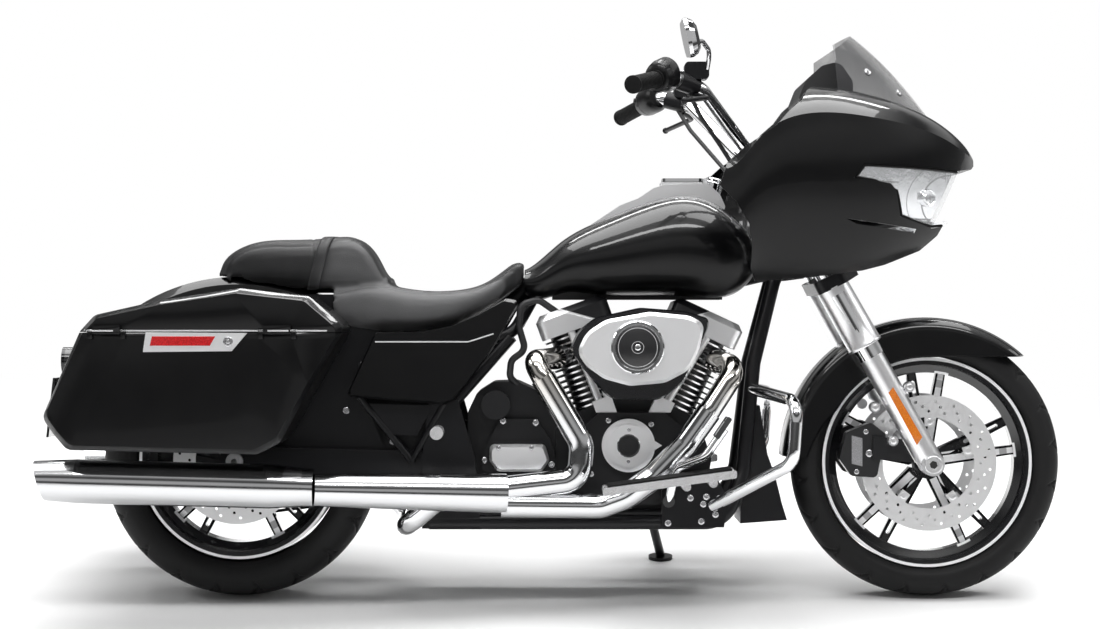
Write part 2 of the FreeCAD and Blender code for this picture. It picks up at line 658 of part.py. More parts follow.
DASH_PLAN_SHARES = (
    (0.0, 0.0), (0.125, 0.0), (0.588, 0.171), (0.925, 0.342), (1.0, 0.5), (0.925, 0.658),
    (0.588, 0.829), (0.125, 1.0), (0.0, 1.0), (0.438, 0.829), (0.775, 0.658), (0.85, 0.5),
    (0.775, 0.342), (0.438, 0.171),
)
GAUGE_RADIUS = 44.0
GAUGE_SIDE = 62.0
GAUGE_Z = 1112.0
GAUGE_LONG = 34.0
SCREEN_LOW = 1100.0
SCREEN_TALL = 240.0
SCREEN_HALF_WIDE = 268.0
SCREEN_BACK = 1384.0
SCREEN_DEEP = 280.0
SCREEN_SHARES = (
    (0.0, 1.0, 0.05, 0.98), (0.25, 0.96, 0.04, 0.815), (0.52, 0.88, 0.03, 0.625), (
        0.8, 0.746, 0.014, 0.385
    ),
    (1.0, 0.56, 0.0, 0.164),
)
SCREEN_SIDE_BACK = 1370.0
SCREEN_SIDE_LOW = 1080.0
SCREEN_SIDE_LONG = 330.0
SCREEN_SIDE_TALL = 248.0
SCREEN_SIDE_BOX = (SCREEN_SIDE_BACK, SCREEN_SIDE_LOW, SCREEN_SIDE_LONG, SCREEN_SIDE_TALL)
SCREEN_SIDE_SHARES = (
    (0.0, 0.0), (0.0, 0.81), (0.23, 1.0), (0.279, 0.992), (0.318, 0.927), (1.0, 0.0),
)
SCREEN_THICK = 4.0
HEADLAMP_OUT = 14.0
HEADLAMP_SIDE_BACK = 1411.0
HEADLAMP_SIDE_LOW = 866.0
HEADLAMP_SIDE_LONG = 279.0
HEADLAMP_SIDE_TALL = 140.0
HEADLAMP_SIDE_BOX = (HEADLAMP_SIDE_BACK, HEADLAMP_SIDE_LOW, HEADLAMP_SIDE_LONG, HEADLAMP_SIDE_TALL)
HEADLAMP_SIDE_SHARES = (
    (0.0, 0.771), (0.082, 1.0), (1.0, 0.943), (1.0, 0.086), (0.692, 0.0), (0.401, 0.171),
    (0.358, 0.586), (0.308, 0.693),
)
LAMP_GAP = 1.2
LAMP_INNER = 66.0
HOOD_HALF = 132.0
COCKPIT_HALF = 138.0
COCKPIT_BACK = 1060.0
COCKPIT_LOW = 1140.0
COCKPIT_LONG = 386.0
COCKPIT_TALL = 140.0
COCKPIT_BOX = (COCKPIT_BACK, COCKPIT_LOW, COCKPIT_LONG, COCKPIT_TALL)
COCKPIT_SHARES = (
    (0.0, 0.0), (1.0, 0.0), (1.0, 1.0), (0.0, 1.0),
)
HOOD_BEND = 26.0
HOOD_BACK = 1312.0
HOOD_LOW = 1160.0
HOOD_LONG = 128.0
HOOD_TALL = 100.0
HOOD_BOX = (HOOD_BACK, HOOD_LOW, HOOD_LONG, HOOD_TALL)
HOOD_SHARES = (
    (0.0, 0.1), (0.141, 0.56), (0.438, 0.9), (0.75, 1.0), (1.0, 0.54), (1.0, 0.0), (0.141, 0.0),
)
LAMP_INSET = 3.0

# Front of the frame: wedge, guard, boards, pedals and stand
WEDGE_HALF = 92.0
WEDGE_BACK = 1180.0
WEDGE_LOW = 178.0
WEDGE_LONG = 110.0
WEDGE_TALL = 277.0
WEDGE_BOX = (WEDGE_BACK, WEDGE_LOW, WEDGE_LONG, WEDGE_TALL)
WEDGE_SHARES = (
    (0.327, 1.0), (0.418, 1.0), (0.582, 0.585), (0.745, 0.404), (0.891, 0.17), (1.0, 0.029),
    (0.0, 0.0), (0.0, 0.123), (0.2, 0.44),
)
GUARD_RADIUS = 14.3
GUARD_BEND = 48.0
GUARD_X = 1110.0
GUARD_Y = 82.0
GUARD_Z = 226.0
GUARD_LONG = 177.0
GUARD_WIDE = 280.0
GUARD_TALL = 268.0
GUARD_BOX = ((GUARD_X, GUARD_Y, GUARD_Z), (GUARD_LONG, GUARD_WIDE, GUARD_TALL))
GUARD_SHARES = (
    (0.548, 0.0, 1.0), (1.0, 1.0, 0.925), (0.949, 1.0, 0.41), (0.0, 0.343, 0.0),
)
BOARD_IN = 262.0
BOARD_OUT = 372.0
BOARD_BEND = 5.0
BOARD_BACK = 851.6
BOARD_LOW = 262.0
BOARD_LONG = 299.4
BOARD_TALL = 59.0
BOARD_BOX = (BOARD_BACK, BOARD_LOW, BOARD_LONG, BOARD_TALL)
BOARD_SHARES = (
    (0.0, 0.0), (0.0, 0.305), (1.0, 1.0), (1.0, 0.695),
)
BOARD_ARM_RADIUS = 10.0
BOARD_ARM_SINK_SHARE = 0.6
BOARD_ARM_X = (1040.0, 1100.0)
PEDAL_THICK = 12.0
PEDAL_X = 1005.0
PEDAL_Y = -306.0
PEDAL_Z = 241.0
PEDAL_LONG = 123.0
PEDAL_WIDE = 76.0
PEDAL_TALL = 169.0
PEDAL_BOX = ((PEDAL_X, PEDAL_Y, PEDAL_Z), (PEDAL_LONG, PEDAL_WIDE, PEDAL_TALL))
PEDAL_SHARES = (
    (0.0, 1.0, 0.0), (0.138, 0.789, 0.456), (0.642, 0.079, 0.621), (1.0, 0.0, 1.0),
)
PEDAL_RADIUS = 10.0
PEDAL_PIVOT_SHARE = 1.4
PEDAL_TILT = 56.0
PEDAL_PAD_LONG = 56.0
PEDAL_PAD_WIDE = 58.0
PEG_X = 474.0
PEG_Z = 398.0
PEG_RADIUS = 15.0
PEG_OUT = 262.0
STAND_PIVOT_X = 980.0
STAND_PIVOT_Y = 200.0
STAND_PIVOT_Z = 176.0
STAND_FOOT_X = 1012.0
STAND_FOOT_Y = 338.0
STAND_RADIUS = 11.0
STAND_FOOT_RADIUS = 30.0
STAND_FOOT_THICK = 8.0
STAND_BOSS_RADIUS = 17.0
STAND_BOSS_THICK = 24.0
STAND_ARM_SHARE = 0.8

# Fork, front fender and caliper
FRONT_FENDER_RADIUS = 343.0
FRONT_FENDER_WALL = 5.0
FRONT_FENDER_HALF = 82.0
FRONT_FENDER_SIDE_VIEW_BACK = 1268.0
FRONT_FENDER_SIDE_VIEW_LOW = 334.0
FRONT_FENDER_SIDE_VIEW_LONG = 616.0
FRONT_FENDER_SIDE_VIEW_TALL = 323.0
FRONT_FENDER_SIDE_VIEW_BOX = (
    FRONT_FENDER_SIDE_VIEW_BACK, FRONT_FENDER_SIDE_VIEW_LOW, FRONT_FENDER_SIDE_VIEW_LONG,
    FRONT_FENDER_SIDE_VIEW_TALL,
)
FRONT_FENDER_SIDE_VIEW_SHARES = (
    (1.0, 0.718), (0.857, 0.892), (0.675, 0.985), (0.567, 1.0), (0.409, 0.947), (0.263, 0.799),
    (0.153, 0.607), (0.107, 0.483), (0.052, 0.328), (0.0, 0.0), (0.088, 0.0), (0.169, 0.266),
    (0.263, 0.539), (0.377, 0.7), (0.474, 0.793), (0.604, 0.836), (0.734, 0.83), (0.912, 0.737),
)
AXLE_HALF = 152.0
SPACER_RADIUS = 19.0
LUG_RADIUS = 27.0
CALIPER_IN = 57.0
CALIPER_OUT = 101.0
CALIPER_BACK = 1412.0
CALIPER_LOW = 286.0
CALIPER_LONG = 110.0
CALIPER_TALL = 130.0
CALIPER_BOX = (CALIPER_BACK, CALIPER_LOW, CALIPER_LONG, CALIPER_TALL)
CALIPER_SHARES = (
    (0.0, 0.338), (0.145, 0.815), (0.673, 1.0), (1.0, 0.785), (0.855, 0.246), (0.8, 0.0),
    (0.255, 0.031),
)
CALIPER_PLATE = 10.0
CALIPER_PLATE_VIEW_BACK = 1490.0
CALIPER_PLATE_VIEW_LOW = 322.0
CALIPER_PLATE_VIEW_LONG = 132.0
CALIPER_PLATE_VIEW_TALL = 62.0
CALIPER_PLATE_VIEW_BOX = (
    CALIPER_PLATE_VIEW_BACK, CALIPER_PLATE_VIEW_LOW, CALIPER_PLATE_VIEW_LONG, CALIPER_PLATE_VIEW_TALL
)
CALIPER_PLATE_VIEW_SHARES = (
    (0.0, 0.129), (0.0, 1.0), (0.833, 0.806), (1.0, 0.129), (0.758, 0.0),
)

# Handlebar, controls, mirrors
BAR_RADIUS = 16.0
GRIP_RADIUS = 18.0
BAR_BEND = 42.0
BAR_X = 915.0
BAR_Y = 40.0
BAR_Z = 975.0
BAR_LONG = 355.0
BAR_WIDE = 415.0
BAR_TALL = 236.0
BAR_BOX = ((BAR_X, BAR_Y, BAR_Z), (BAR_LONG, BAR_WIDE, BAR_TALL))
BAR_SHARES = (
    (0.0, 1.0, 0.847), (0.248, 0.545, 1.0), (0.465, 0.448, 0.898), (0.766, 0.173, 0.364),
    (1.0, 0.0, 0.0),
)
GRIP_SHARE = 0.64
RISER_RADIUS = 17.0
SWITCH_RADIUS = 31.0
PERCH_RADIUS = 22.0
RESERVOIR_LONG = 56.0
RESERVOIR_WIDE = 46.0
RESERVOIR_TALL = 40.0
RESERVOIR_RISE = 16.0
LEVER_BALL = 8.0
LEVER_RADIUS = 6.0
LEVER_X = 1030.0
LEVER_Y = 240.0
LEVER_Z = 1141.0
LEVER_LONG = 60.0
LEVER_WIDE = 200.0
LEVER_TALL = 29.0
LEVER_BOX = ((LEVER_X, LEVER_Y, LEVER_Z), (LEVER_LONG, LEVER_WIDE, LEVER_TALL))
LEVER_SHARES = (
    (0.533, 0.0, 1.0), (1.0, 0.3, 0.655), (0.0, 1.0, 0.0),
)
MIRROR_TILT = 12.0
MIRROR_WIDE = 138.0
MIRROR_TALL = 88.0
MIRROR_DEEP = 28.0
MIRROR_STEM_SHARE = 0.2
MIRROR_HEEL_SHARE = 0.6
MIRROR_CORNER_SHARE = 0.7
MIRROR_DEPTH_SHARES = ((0.0, 1.0), (0.3, 1.0), (0.7, 0.86), (1.0, 0.6))
MIRROR_X = 1046.0
MIRROR_Y = 238.0
MIRROR_Z = 1192.0
MIRROR_LONG = 52.0
MIRROR_WIDE = 158.0
MIRROR_TALL = 92.0
MIRROR_BOX = ((MIRROR_X, MIRROR_Y, MIRROR_Z), (MIRROR_LONG, MIRROR_WIDE, MIRROR_TALL))
MIRROR_SHARES = (
    (0.769, 0.0, 0.0), (1.0, 0.152, 0.826), (0.577, 0.582, 1.0), (0.0, 1.0, 0.913),
)
CABLE_RADIUS = 5.0
REAR_CALIPER_BACK = 62.0
REAR_CALIPER_LOW = 424.0
REAR_CALIPER_LONG = 84.0
REAR_CALIPER_TALL = 74.0
REAR_CALIPER_BOX = (REAR_CALIPER_BACK, REAR_CALIPER_LOW, REAR_CALIPER_LONG, REAR_CALIPER_TALL)
REAR_CALIPER_SHARES = (
    (0.0, 0.0), (0.048, 1.0), (0.738, 0.811), (1.0, 0.0),
)
REAR_HANGER_BACK = 66.0
REAR_HANGER_LOW = 352.0
REAR_HANGER_LONG = 84.0
REAR_HANGER_TALL = 88.0
REAR_HANGER_BOX = (REAR_HANGER_BACK, REAR_HANGER_LOW, REAR_HANGER_LONG, REAR_HANGER_TALL)
REAR_HANGER_SHARES = (
    (0.048, 0.0), (0.0, 1.0), (0.762, 1.0), (1.0, 0.0),
)

# Sizes that follow from the ones above
PRIMARY_IN = 126.0
PRIMARY_STEP = 16.0
PIVOT_PLATE_TOP = PIVOT_PLATE_LOW + PIVOT_PLATE_TALL
SEAT_RAIL_SIDE = SEAT_RAIL_Y + SEAT_RAIL_WIDE
DOWN_TUBE_LOW = DOWN_TUBE_Z
DOWN_TUBE_SIDE = DOWN_TUBE_Y + DOWN_TUBE_WIDE
FRONT_CROSS_X = 1098.0
SHOCK_TOP_X = SHOCK_X + SHOCK_LONG
SHOCK_TOP_Z = SHOCK_Z + SHOCK_TALL
HINGE_X = DOOR_BACK + DOOR_LONG + HINGE_RADIUS + PIN_GAP
HINGE_Z = DOOR_UNDER + DOOR_THICK / 2
SPLIT_Z = 629.5
LID_HINGE_Y = BAG_OUT + HINGE_RADIUS
GAUGE_X = 1352.0
BRACKET_HIGH = 60.0
BOARD_RISE = 41.0
PEDAL_BEND = 30.0
STAND_PIN_RADIUS = 6.0
STAND_SINK = 1.3
STAND_FOLDED_SHARES = (-0.9, 0.15, 0.4)
CLAMP_BACK = 78.0
CLAMP_FRONT = 36.0
CLAMP_HALF = 152.0
FENDER_HOOK_Z = 590.0
FENDER_HOOK_RADIUS = 13.0
LUG_IN = 92.0
LUG_OUT = 148.0
FRONT_FENDER_LOW_RADIUS = 290.0
REAR_CALIPER_IN = 88.0
RISER_SIDE = 26.0
SWITCH_SHARES = (0.66, 0.88)
PERCH_SHARES = (0.3, 0.85)
MIRROR_STEM_RADIUS = 5.5


def outline(shares, box):
    back, low, long, tall = box
    return [(back + long * a, low + tall * b) for a, b in shares]


def places(shares, corner, size):
    return [V(*(c + s * a for c, s, a in zip(corner, size, row))) for row in shares]


def box(x0, x1, y0, y1, z0, z1):
    return Part.makeBox(x1 - x0, y1 - y0, z1 - z0, V(x0, y0, z0))


def rod(start, end, radius):
    along = end.sub(start)
    return Part.makeCylinder(radius, along.Length, start, along)


def pipe(start, end, radius, bore):
    return rod(start, end, radius).cut(rod(start, end, bore))


def cross_rod(x, z, y0, y1, radius):
    return Part.makeCylinder(radius, y1 - y0, V(x, y0, z), V(0, 1, 0))


def prism(points, y0, y1):
    ring = [V(x, y0, z) for x, z in points]
    return Part.Face(Part.makePolygon(ring + ring[:1])).extrude(V(0, y1 - y0, 0))


def plan(points, z0, z1):
    ring = [V(x, y, z0) for x, y in points]
    return Part.Face(Part.makePolygon(ring + ring[:1])).extrude(V(0, 0, z1 - z0))


def corner_arc(before, corner, after, bend):
    to_before = before.sub(corner).normalize()
    to_after = after.sub(corner).normalize()
    half = to_before.getAngle(to_after) / 2
    shortest = min(before.distanceToPoint(corner), after.distanceToPoint(corner))
    reach = min(bend / math.tan(half), shortest * CORNER_REACH_SHARE)
    radius = reach * math.tan(half)
    inward = to_before.add(to_after).normalize()
    middle = corner.add(inward.multiply(radius / math.sin(half) - radius))
    start = corner.add(V(to_before).multiply(reach))
    end = corner.add(V(to_after).multiply(reach))
    return start, middle, end


def route(points, bend):
    edges = []
    last = points[0]
    for before, corner, after in zip(points, points[1:], points[2:]):
        start, middle, end = corner_arc(before, corner, after, bend)
        edges.append(Part.LineSegment(last, start).toShape())
        edges.append(Part.Arc(start, middle, end).toShape())
        last = end
    edges.append(Part.LineSegment(last, points[-1]).toShape())
    return Part.Wire(edges)


def tube(points, radius, bend):
    ring = Part.Wire(Part.makeCircle(radius, points[0], points[1].sub(points[0])))
    return route(points, bend).makePipeShell([ring], True, False)


def rounded_ring(points, bend):
    edges = []
    count = len(points)
    arcs = [corner_arc(points[i - 1], points[i], points[(i + 1) % count], bend) for i in range(count)]
    for i in range(count):
        start, middle, end = arcs[i]
        edges.append(Part.Arc(start, middle, end).toShape())
        edges.append(Part.LineSegment(end, arcs[(i + 1) % count][0]).toShape())
    return Part.Wire(edges)


def rounded_prism(points, y0, y1, bend):
    ring = rounded_ring([V(x, y0, z) for x, z in points], bend)
    return Part.Face(ring).extrude(V(0, y1 - y0, 0))


def shrunk(points, inset):
    xs = [x for x, z in points]
    zs = [z for x, z in points]
    mid_x, mid_z = (min(xs) + max(xs)) / 2, (min(zs) + max(zs)) / 2
    fx = 1 - 2 * inset / (max(xs) - min(xs))
    fz = 1 - 2 * inset / (max(zs) - min(zs))
    return [(mid_x + (x - mid_x) * fx, mid_z + (z - mid_z) * fz) for x, z in points]


def stacked(points, levels, bend):
    rings = []
    for y, inset in levels:
        rings.append(rounded_ring([V(x, y, z) for x, z in shrunk(points, inset)], bend))
    return Part.makeLoft(rings, True, True)


def spun(profile, x, z):
    ring = [V(r, y, 0) for r, y in profile]
    face = Part.Face(Part.makePolygon(ring + ring[:1]))
    shape = face.revolve(V(0, 0, 0), V(0, 1, 0), TURN)
    shape.translate(V(x, 0, z))
    return shape


def spun_about(profile, base, direction):
    ring = [V(r, 0, h) for r, h in profile]
    face = Part.Face(Part.makePolygon(ring + ring[:1]))
    shape = face.revolve(V(0, 0, 0), V(0, 0, 1), TURN)
    shape.Placement = FreeCAD.Placement(base, FreeCAD.Rotation(V(0, 0, 1), direction))
    return shape


def spline(points):
    curve = Part.BSplineCurve()
    curve.interpolate(points)
    return curve.toShape()


def section_ring(shares, x, half_wide, low, high):
    side = [V(x, half_wide * a, low + (high - low) * b) for a, b in shares]
    other = [V(p.x, -p.y, p.z) for p in reversed(side[1:-1])]
    curve = Part.BSplineCurve()
    curve.interpolate(side + other, PeriodicFlag=True)
    return Part.Wire(curve.toShape())


def lofted(shares, stations):
    return Part.makeLoft([section_ring(shares, *row) for row in stations], True, False)


def mirrored(shape):
    return shape.mirror(V(0, 0, 0), V(0, 1, 0))


def pair(shape):
    return Part.makeCompound([shape, mirrored(shape)])


def joined(shapes):
    whole = shapes[0]
    if len(shapes) > 1:
        whole = whole.fuse(shapes[1:])
    return whole.removeSplitter()


def steered(shape):
    shape.rotate(V(STEER_GROUND_X, 0, 0), V(0, 1, 0), -RAKE)
    return shape


def steer_axis_point(along):
    a = math.radians(RAKE)
    return V(STEER_GROUND_X - along * math.sin(a), 0, along * math.cos(a))


def leg_point(z, side):
    return V(WHEELBASE - LEG_SLOPE * (z - FRONT_TYRE_RADIUS), side, z)


def tyre(radius, half_wide, bead, x):
    tall = radius - bead
    out = [V(bead + tall * a, half_wide * b, 0) for a, b in TYRE_OUT_SHARES]
    out += [V(p.x, -p.y, 0) for p in reversed(out[:-1])]
    inner = [V(bead + tall * a, half_wide * b, 0) for a, b in TYRE_IN_SHARES]
    inner += [V(p.x, -p.y, 0) for p in reversed(inner[:-1])]
    heel = V(bead, out[0].y, 0)
    heel_far = V(bead, -heel.y, 0)
    edges = [
        spline(out),
        Part.makeLine(out[-1], heel_far),
        Part.makeLine(heel_far, inner[-1]),
        spline(inner),
        Part.makeLine(inner[0], heel),
        Part.makeLine(heel, out[0]),
    ]
    face = Part.Face(Part.Wire(Part.__sortEdges__(edges)))
    shape = face.revolve(V(0, 0, 0), V(0, 1, 0), TURN)
    shape.translate(V(x, 0, radius))
    return shape


def rim_barrel(half_wide, bead, x, z):
    heel = TYRE_OUT_SHARES[0][1] * half_wide + SEAT_GAP
    lip = heel + RIM_WALL * RIM_LIP_SHARE
    seat = bead - SEAT_GAP
    well = seat - RIM_WELL
    half = [
        (bead + RIM_FLANGE, lip), (bead + RIM_FLANGE, heel), (seat, heel),
        (seat, heel * RIM_EDGE_SHARE), (well, heel * RIM_SLOPE_SHARE),
    ]
    under = [
        (well - RIM_WALL, heel * RIM_SLOPE_SHARE), (
            seat - RIM_WALL * RIM_CREASE_SHARE, heel * RIM_EDGE_SHARE
        ),
        (seat - RIM_WALL, lip),
    ]
    ring = half + [(r, -y) for r, y in reversed(half)]
    ring += [(r, -y) for r, y in reversed(under)] + under
    return spun(ring, x, z)


def slot(tip):
    start, end = tip * SPOKE_SLOT_START_SHARE, tip * SPOKE_SLOT_END_SHARE
    half = SPOKE_SLOT_WIDE / 2
    deep = SPOKE_ROOT_DEEP
    hole = Part.makeBox(end - start, deep * 2, SPOKE_SLOT_WIDE, V(start, -deep, -half))
    for reach in (start, end):
        hole = hole.fuse(cross_rod(reach, 0, -deep, deep, half))
    return hole


def spoke(angle, tip, deep_share, slotted, x, z):
    rings = []
    root = HUB_RADIUS * 0.5
    for reach, wide, deep in (
        (root, SPOKE_ROOT_WIDE, SPOKE_ROOT_DEEP), (tip, SPOKE_TIP_WIDE, SPOKE_TIP_DEEP)
    ):
        half, side = wide / 2, deep * deep_share / 2
        step = wide * SPOKE_CORNER_SHARE
        corners = [
            V(reach, -side, half - step), V(reach, -side, step - half), V(reach, step - side, -half),
            V(reach, side - step, -half), V(reach, side, step - half), V(reach, side, half - step),
            V(reach, side - step, half), V(reach, step - side, half),
        ]
        rings.append(Part.makePolygon(corners + corners[:1]))
    shape = Part.makeLoft(rings, True, True)
    if slotted:
        shape = shape.cut(slot(tip))
    shape.rotate(V(0, 0, 0), V(0, 1, 0), -angle)
    shape.translate(V(x, 0, z))
    return shape


def bolt_places(x, z, circle, phase):
    step = TURN / SPOKE_GROUPS
    spots = []
    for i in range(SPOKE_GROUPS):
        a = math.radians(phase + step * i)
        spots.append((x + circle * math.cos(a), z + circle * math.sin(a)))
    return spots


def wheel(half_wide, bead, x, z, hub_half, boss_far, boss_near):
    whole = cross_rod(x, z, -hub_half, hub_half, HUB_RADIUS)
    tip = bead - SEAT_GAP - RIM_WELL - RIM_WALL / 2
    for i in range(SPOKE_GROUPS):
        start = SPOKE_PHASE + TURN / SPOKE_GROUPS * i
        whole = whole.fuse(spoke(start, tip, 1, False, x, z))
        whole = whole.fuse(spoke(start + SPOKE_SPREAD, tip, SECOND_SPOKE_SHARE, True, x, z))
    middle = SPOKE_PHASE + SPOKE_SPREAD / 2
    for spot_x, spot_z in bolt_places(x, z, DISC_BOLT_CIRCLE, middle):
        whole = whole.fuse(cross_rod(spot_x, spot_z, boss_far, boss_near, DISC_BOSS_RADIUS))
    whole = whole.fuse(rim_barrel(half_wide, bead, x, z))
    return whole.cut(cross_rod(x, z, -hub_half - OVERRUN, hub_half + OVERRUN, AXLE_RADIUS + HUB_BORE_GAP))


def disc(x, z, side, outer, inner):
    thick = DISC_THICK / 2
    ring = cross_rod(x, z, side - thick, side + thick, outer)
    ring = ring.cut(cross_rod(x, z, side - thick - OVERRUN, side + thick + OVERRUN, inner))
    parts = [ring]
    middle = SPOKE_PHASE + SPOKE_SPREAD / 2
    for i in range(SPOKE_GROUPS):
        inner_end = DISC_BOLT_CIRCLE - DISC_TAB_DEEP / 2
        tab = box(
            inner_end, inner + DISC_TAB_DEEP / 2, side - thick, side + thick, -DISC_TAB_WIDE / 2,
            DISC_TAB_WIDE / 2,
        )
        tab.rotate(V(0, 0, 0), V(0, 1, 0), -(middle + TURN / SPOKE_GROUPS * i))
        tab.translate(V(x, 0, z))
        parts.append(tab)
    return joined(parts)


def largest(shape):
    return max(shape.Solids, key=lambda s: s.Volume)


def trimmed(shape, others):
    return largest(shape.cut(others))


def engine_point(lean, along, across, side):
    a = math.radians(lean)
    x = CRANK_X + along * math.sin(a) + across * math.cos(a)
    z = CRANK_Z + along * math.cos(a) - across * math.sin(a)
    return V(x, side, z)


def engine_case():
    case = prism(outline(CASE_SHARES, CASE_BOX), -CASE_HALF_WIDE, CASE_HALF_WIDE)
    for lean in (-REAR_LEAN, FRONT_LEAN):
        low = engine_point(lean, CYLINDER_BASE - SEAT_GAP, 0, 0)
        case = case.cut(rod(low, engine_point(lean, HEAD_TOP, 0, 0), FIN_RADIUS + OVERRUN))
    return case


def cam_chest():
    outer, inner = -CAM_CHEST_OUT, -CASE_HALF_WIDE - SEAT_GAP
    return rounded_prism(outline(CAM_CHEST_SHARES, CAM_CHEST_BOX), outer, inner, OVERRUN)


def tappet_block(lean):
    foot = CRANK_X + math.copysign(TAPPET_OUT, lean)
    top = CAM_CHEST_BOX[1] + CAM_CHEST_BOX[3] + SEAT_GAP
    outer, inner = -CAM_CHEST_OUT + OVERRUN / 2, -CASE_HALF_WIDE - SEAT_GAP
    block = box(
        foot - TAPPET_LONG / 2, foot + TAPPET_LONG / 2, outer, inner, top - TAPPET_TALL, top + TAPPET_TALL
    )
    block.rotate(V(foot, 0, top), V(0, 1, 0), lean)
    return block.cut(cam_chest_room(top))


def cam_chest_room(top):
    left, right = CAM_CHEST_BOX[0], CAM_CHEST_BOX[0] + CAM_CHEST_BOX[2]
    return box(left, right, -CAM_CHEST_OUT * 2, CAM_CHEST_OUT, CAM_CHEST_BOX[1], top)


def pushrod_tubes(others):
    parts = []
    for lean in (-REAR_LEAN, FRONT_LEAN):
        foot = CRANK_X + math.copysign(TAPPET_OUT, lean)
        low_z = CAM_CHEST_BOX[1] + CAM_CHEST_BOX[3] + OVERRUN
        group = [tappet_block(lean)]
        for spread in (-PUSHROD_SPREAD, PUSHROD_SPREAD):
            top = engine_point(lean, HEAD_TOP - SEAT_GAP, spread, -PUSHROD_SIDE)
            low = V(foot + spread * TAPPET_SHARE, -PUSHROD_SIDE, low_z)
            group.append(rod(low, top, PUSHROD_RADIUS))
        parts.append(trimmed(joined(group), others))
    return Part.makeCompound(parts)


def half_space(lean, side):
    near, far = CRANK_X - side * VALLEY_GAP / 2, CRANK_X + side * ROCKER_LONG * 3
    block = box(
        min(near, far), max(near, far), -ROCKER_WIDE, ROCKER_WIDE, CRANK_Z, CRANK_Z + ROCKER_TOP * 2
    )
    block.rotate(V(CRANK_X, 0, CRANK_Z), V(0, 1, 0), lean)
    return block


def barrel(lean):
    profile = [(0, CYLINDER_BASE), (BARREL_RADIUS, CYLINDER_BASE)]
    for i in range(FIN_COUNT):
        low = FIN_START + FIN_PITCH * i
        profile += [
            (BARREL_RADIUS, low), (FIN_RADIUS, low), (FIN_RADIUS, low + FIN_THICK),
            (BARREL_RADIUS, low + FIN_THICK),
        ]
    profile += [(BARREL_RADIUS, HEAD_TOP - SEAT_GAP), (0, HEAD_TOP - SEAT_GAP)]
    shape = spun_about(
        profile, V(CRANK_X, 0, CRANK_Z), engine_point(lean, 1, 0, 0).sub(V(CRANK_X, 0, CRANK_Z))
    )
    return shape.cut(half_space((FRONT_LEAN - REAR_LEAN) / 2, -math.copysign(1, lean)))


def cylinder_barrels(headers):
    rear, front = barrel(-REAR_LEAN), barrel(FRONT_LEAN)
    middle = (HEAD_TOP + FIN_START + FIN_PITCH * FIN_COUNT / 2) / 2
    rear_head = engine_point(-REAR_LEAN, middle, 0, 0)
    front_head = engine_point(FRONT_LEAN, middle, 0, 0)
    parts = [rear, front, rod(rear_head, front_head, INTAKE_RADIUS)]
    parts.append(cross_rod(INTAKE_X, INTAKE_Z, -AIR_CLEANER_IN + SEAT_GAP, 0, INTAKE_RADIUS))
    for head, start in ((rear_head, headers[0]), (front_head, headers[1])):
        parts.append(rod(head, start, HEADER_RADIUS * PORT_SHARE))
    return joined(parts)


def rocker_covers():
    covers = []
    for lean in (-REAR_LEAN, FRONT_LEAN):
        rings = []
        for level, inset in ((HEAD_TOP, 0), (ROCKER_TOP - ROCKER_TAPER, 0), (ROCKER_TOP, ROCKER_TAPER)):
            half, side = ROCKER_LONG / 2 - inset, ROCKER_WIDE / 2 - inset
            corners = [
                V(-half, -side, level), V(half, -side, level), V(half, side, level), V(-half, side, level)
            ]
            rings.append(rounded_ring(corners, ROCKER_BEND))
        cover = Part.makeLoft(rings, True, True)
        cover.rotate(V(0, 0, 0), V(0, 1, 0), lean)
        cover.translate(V(CRANK_X, 0, CRANK_Z))
        covers.append(cover.cut(half_space((FRONT_LEAN - REAR_LEAN) / 2, -math.copysign(1, lean))))
    return Part.makeCompound(covers)


def cam_cover():
    face = -CAM_CHEST_OUT - SEAT_GAP
    parts = [cross_rod(CAM_COVER_X, CAM_COVER_Z, -CAM_COVER_OUT, face, CAM_COVER_RADIUS)]
    parts.append(cross_rod(CAM_COVER_X, CAM_COVER_Z, -CAM_NOSE_OUT, face, CAM_COVER_RIM))
    nose = [
        (CAM_COVER_X, CAM_COVER_Z + CAM_COVER_RIM), (CAM_COVER_X + CAM_NOSE_LONG, CAM_COVER_Z),
        (CAM_COVER_X, CAM_COVER_Z - CAM_COVER_RIM),
    ]
    parts.append(prism(nose, -CAM_COVER_OUT, face))
    return joined(parts)


def air_cleaner():
    points = outline(AIR_CLEANER_SHARES, AIR_CLEANER_BOX)
    levels = (
        (-AIR_CLEANER_IN, AIR_FACE_INSET), (-AIR_CLEANER_OUT + AIR_RIM_BEND, 0), (
            -AIR_CLEANER_OUT, AIR_FACE_INSET / 4
        ),
    )
    return stacked(points, levels, AIR_CORNER)


def air_cleaner_cover():
    points = outline(AIR_FACE_SHARES, AIR_FACE_BOX)
    levels = ((-AIR_CLEANER_OUT - SEAT_GAP, 0), (-AIR_FACE_OUT, AIR_FACE_INSET / 2))
    face = stacked(points, levels, AIR_CORNER)
    ring = cross_rod(AIR_DISC_X, AIR_DISC_Z, -AIR_DISC_OUT, -AIR_FACE_OUT + OVERRUN / 3, AIR_RING_RADIUS)
    well = cross_rod(
        AIR_DISC_X, AIR_DISC_Z, -AIR_DISC_OUT - OVERRUN, -AIR_DISC_OUT + OVERRUN / 4, AIR_DISC_RADIUS
    )
    return joined([face, ring]).cut(well)


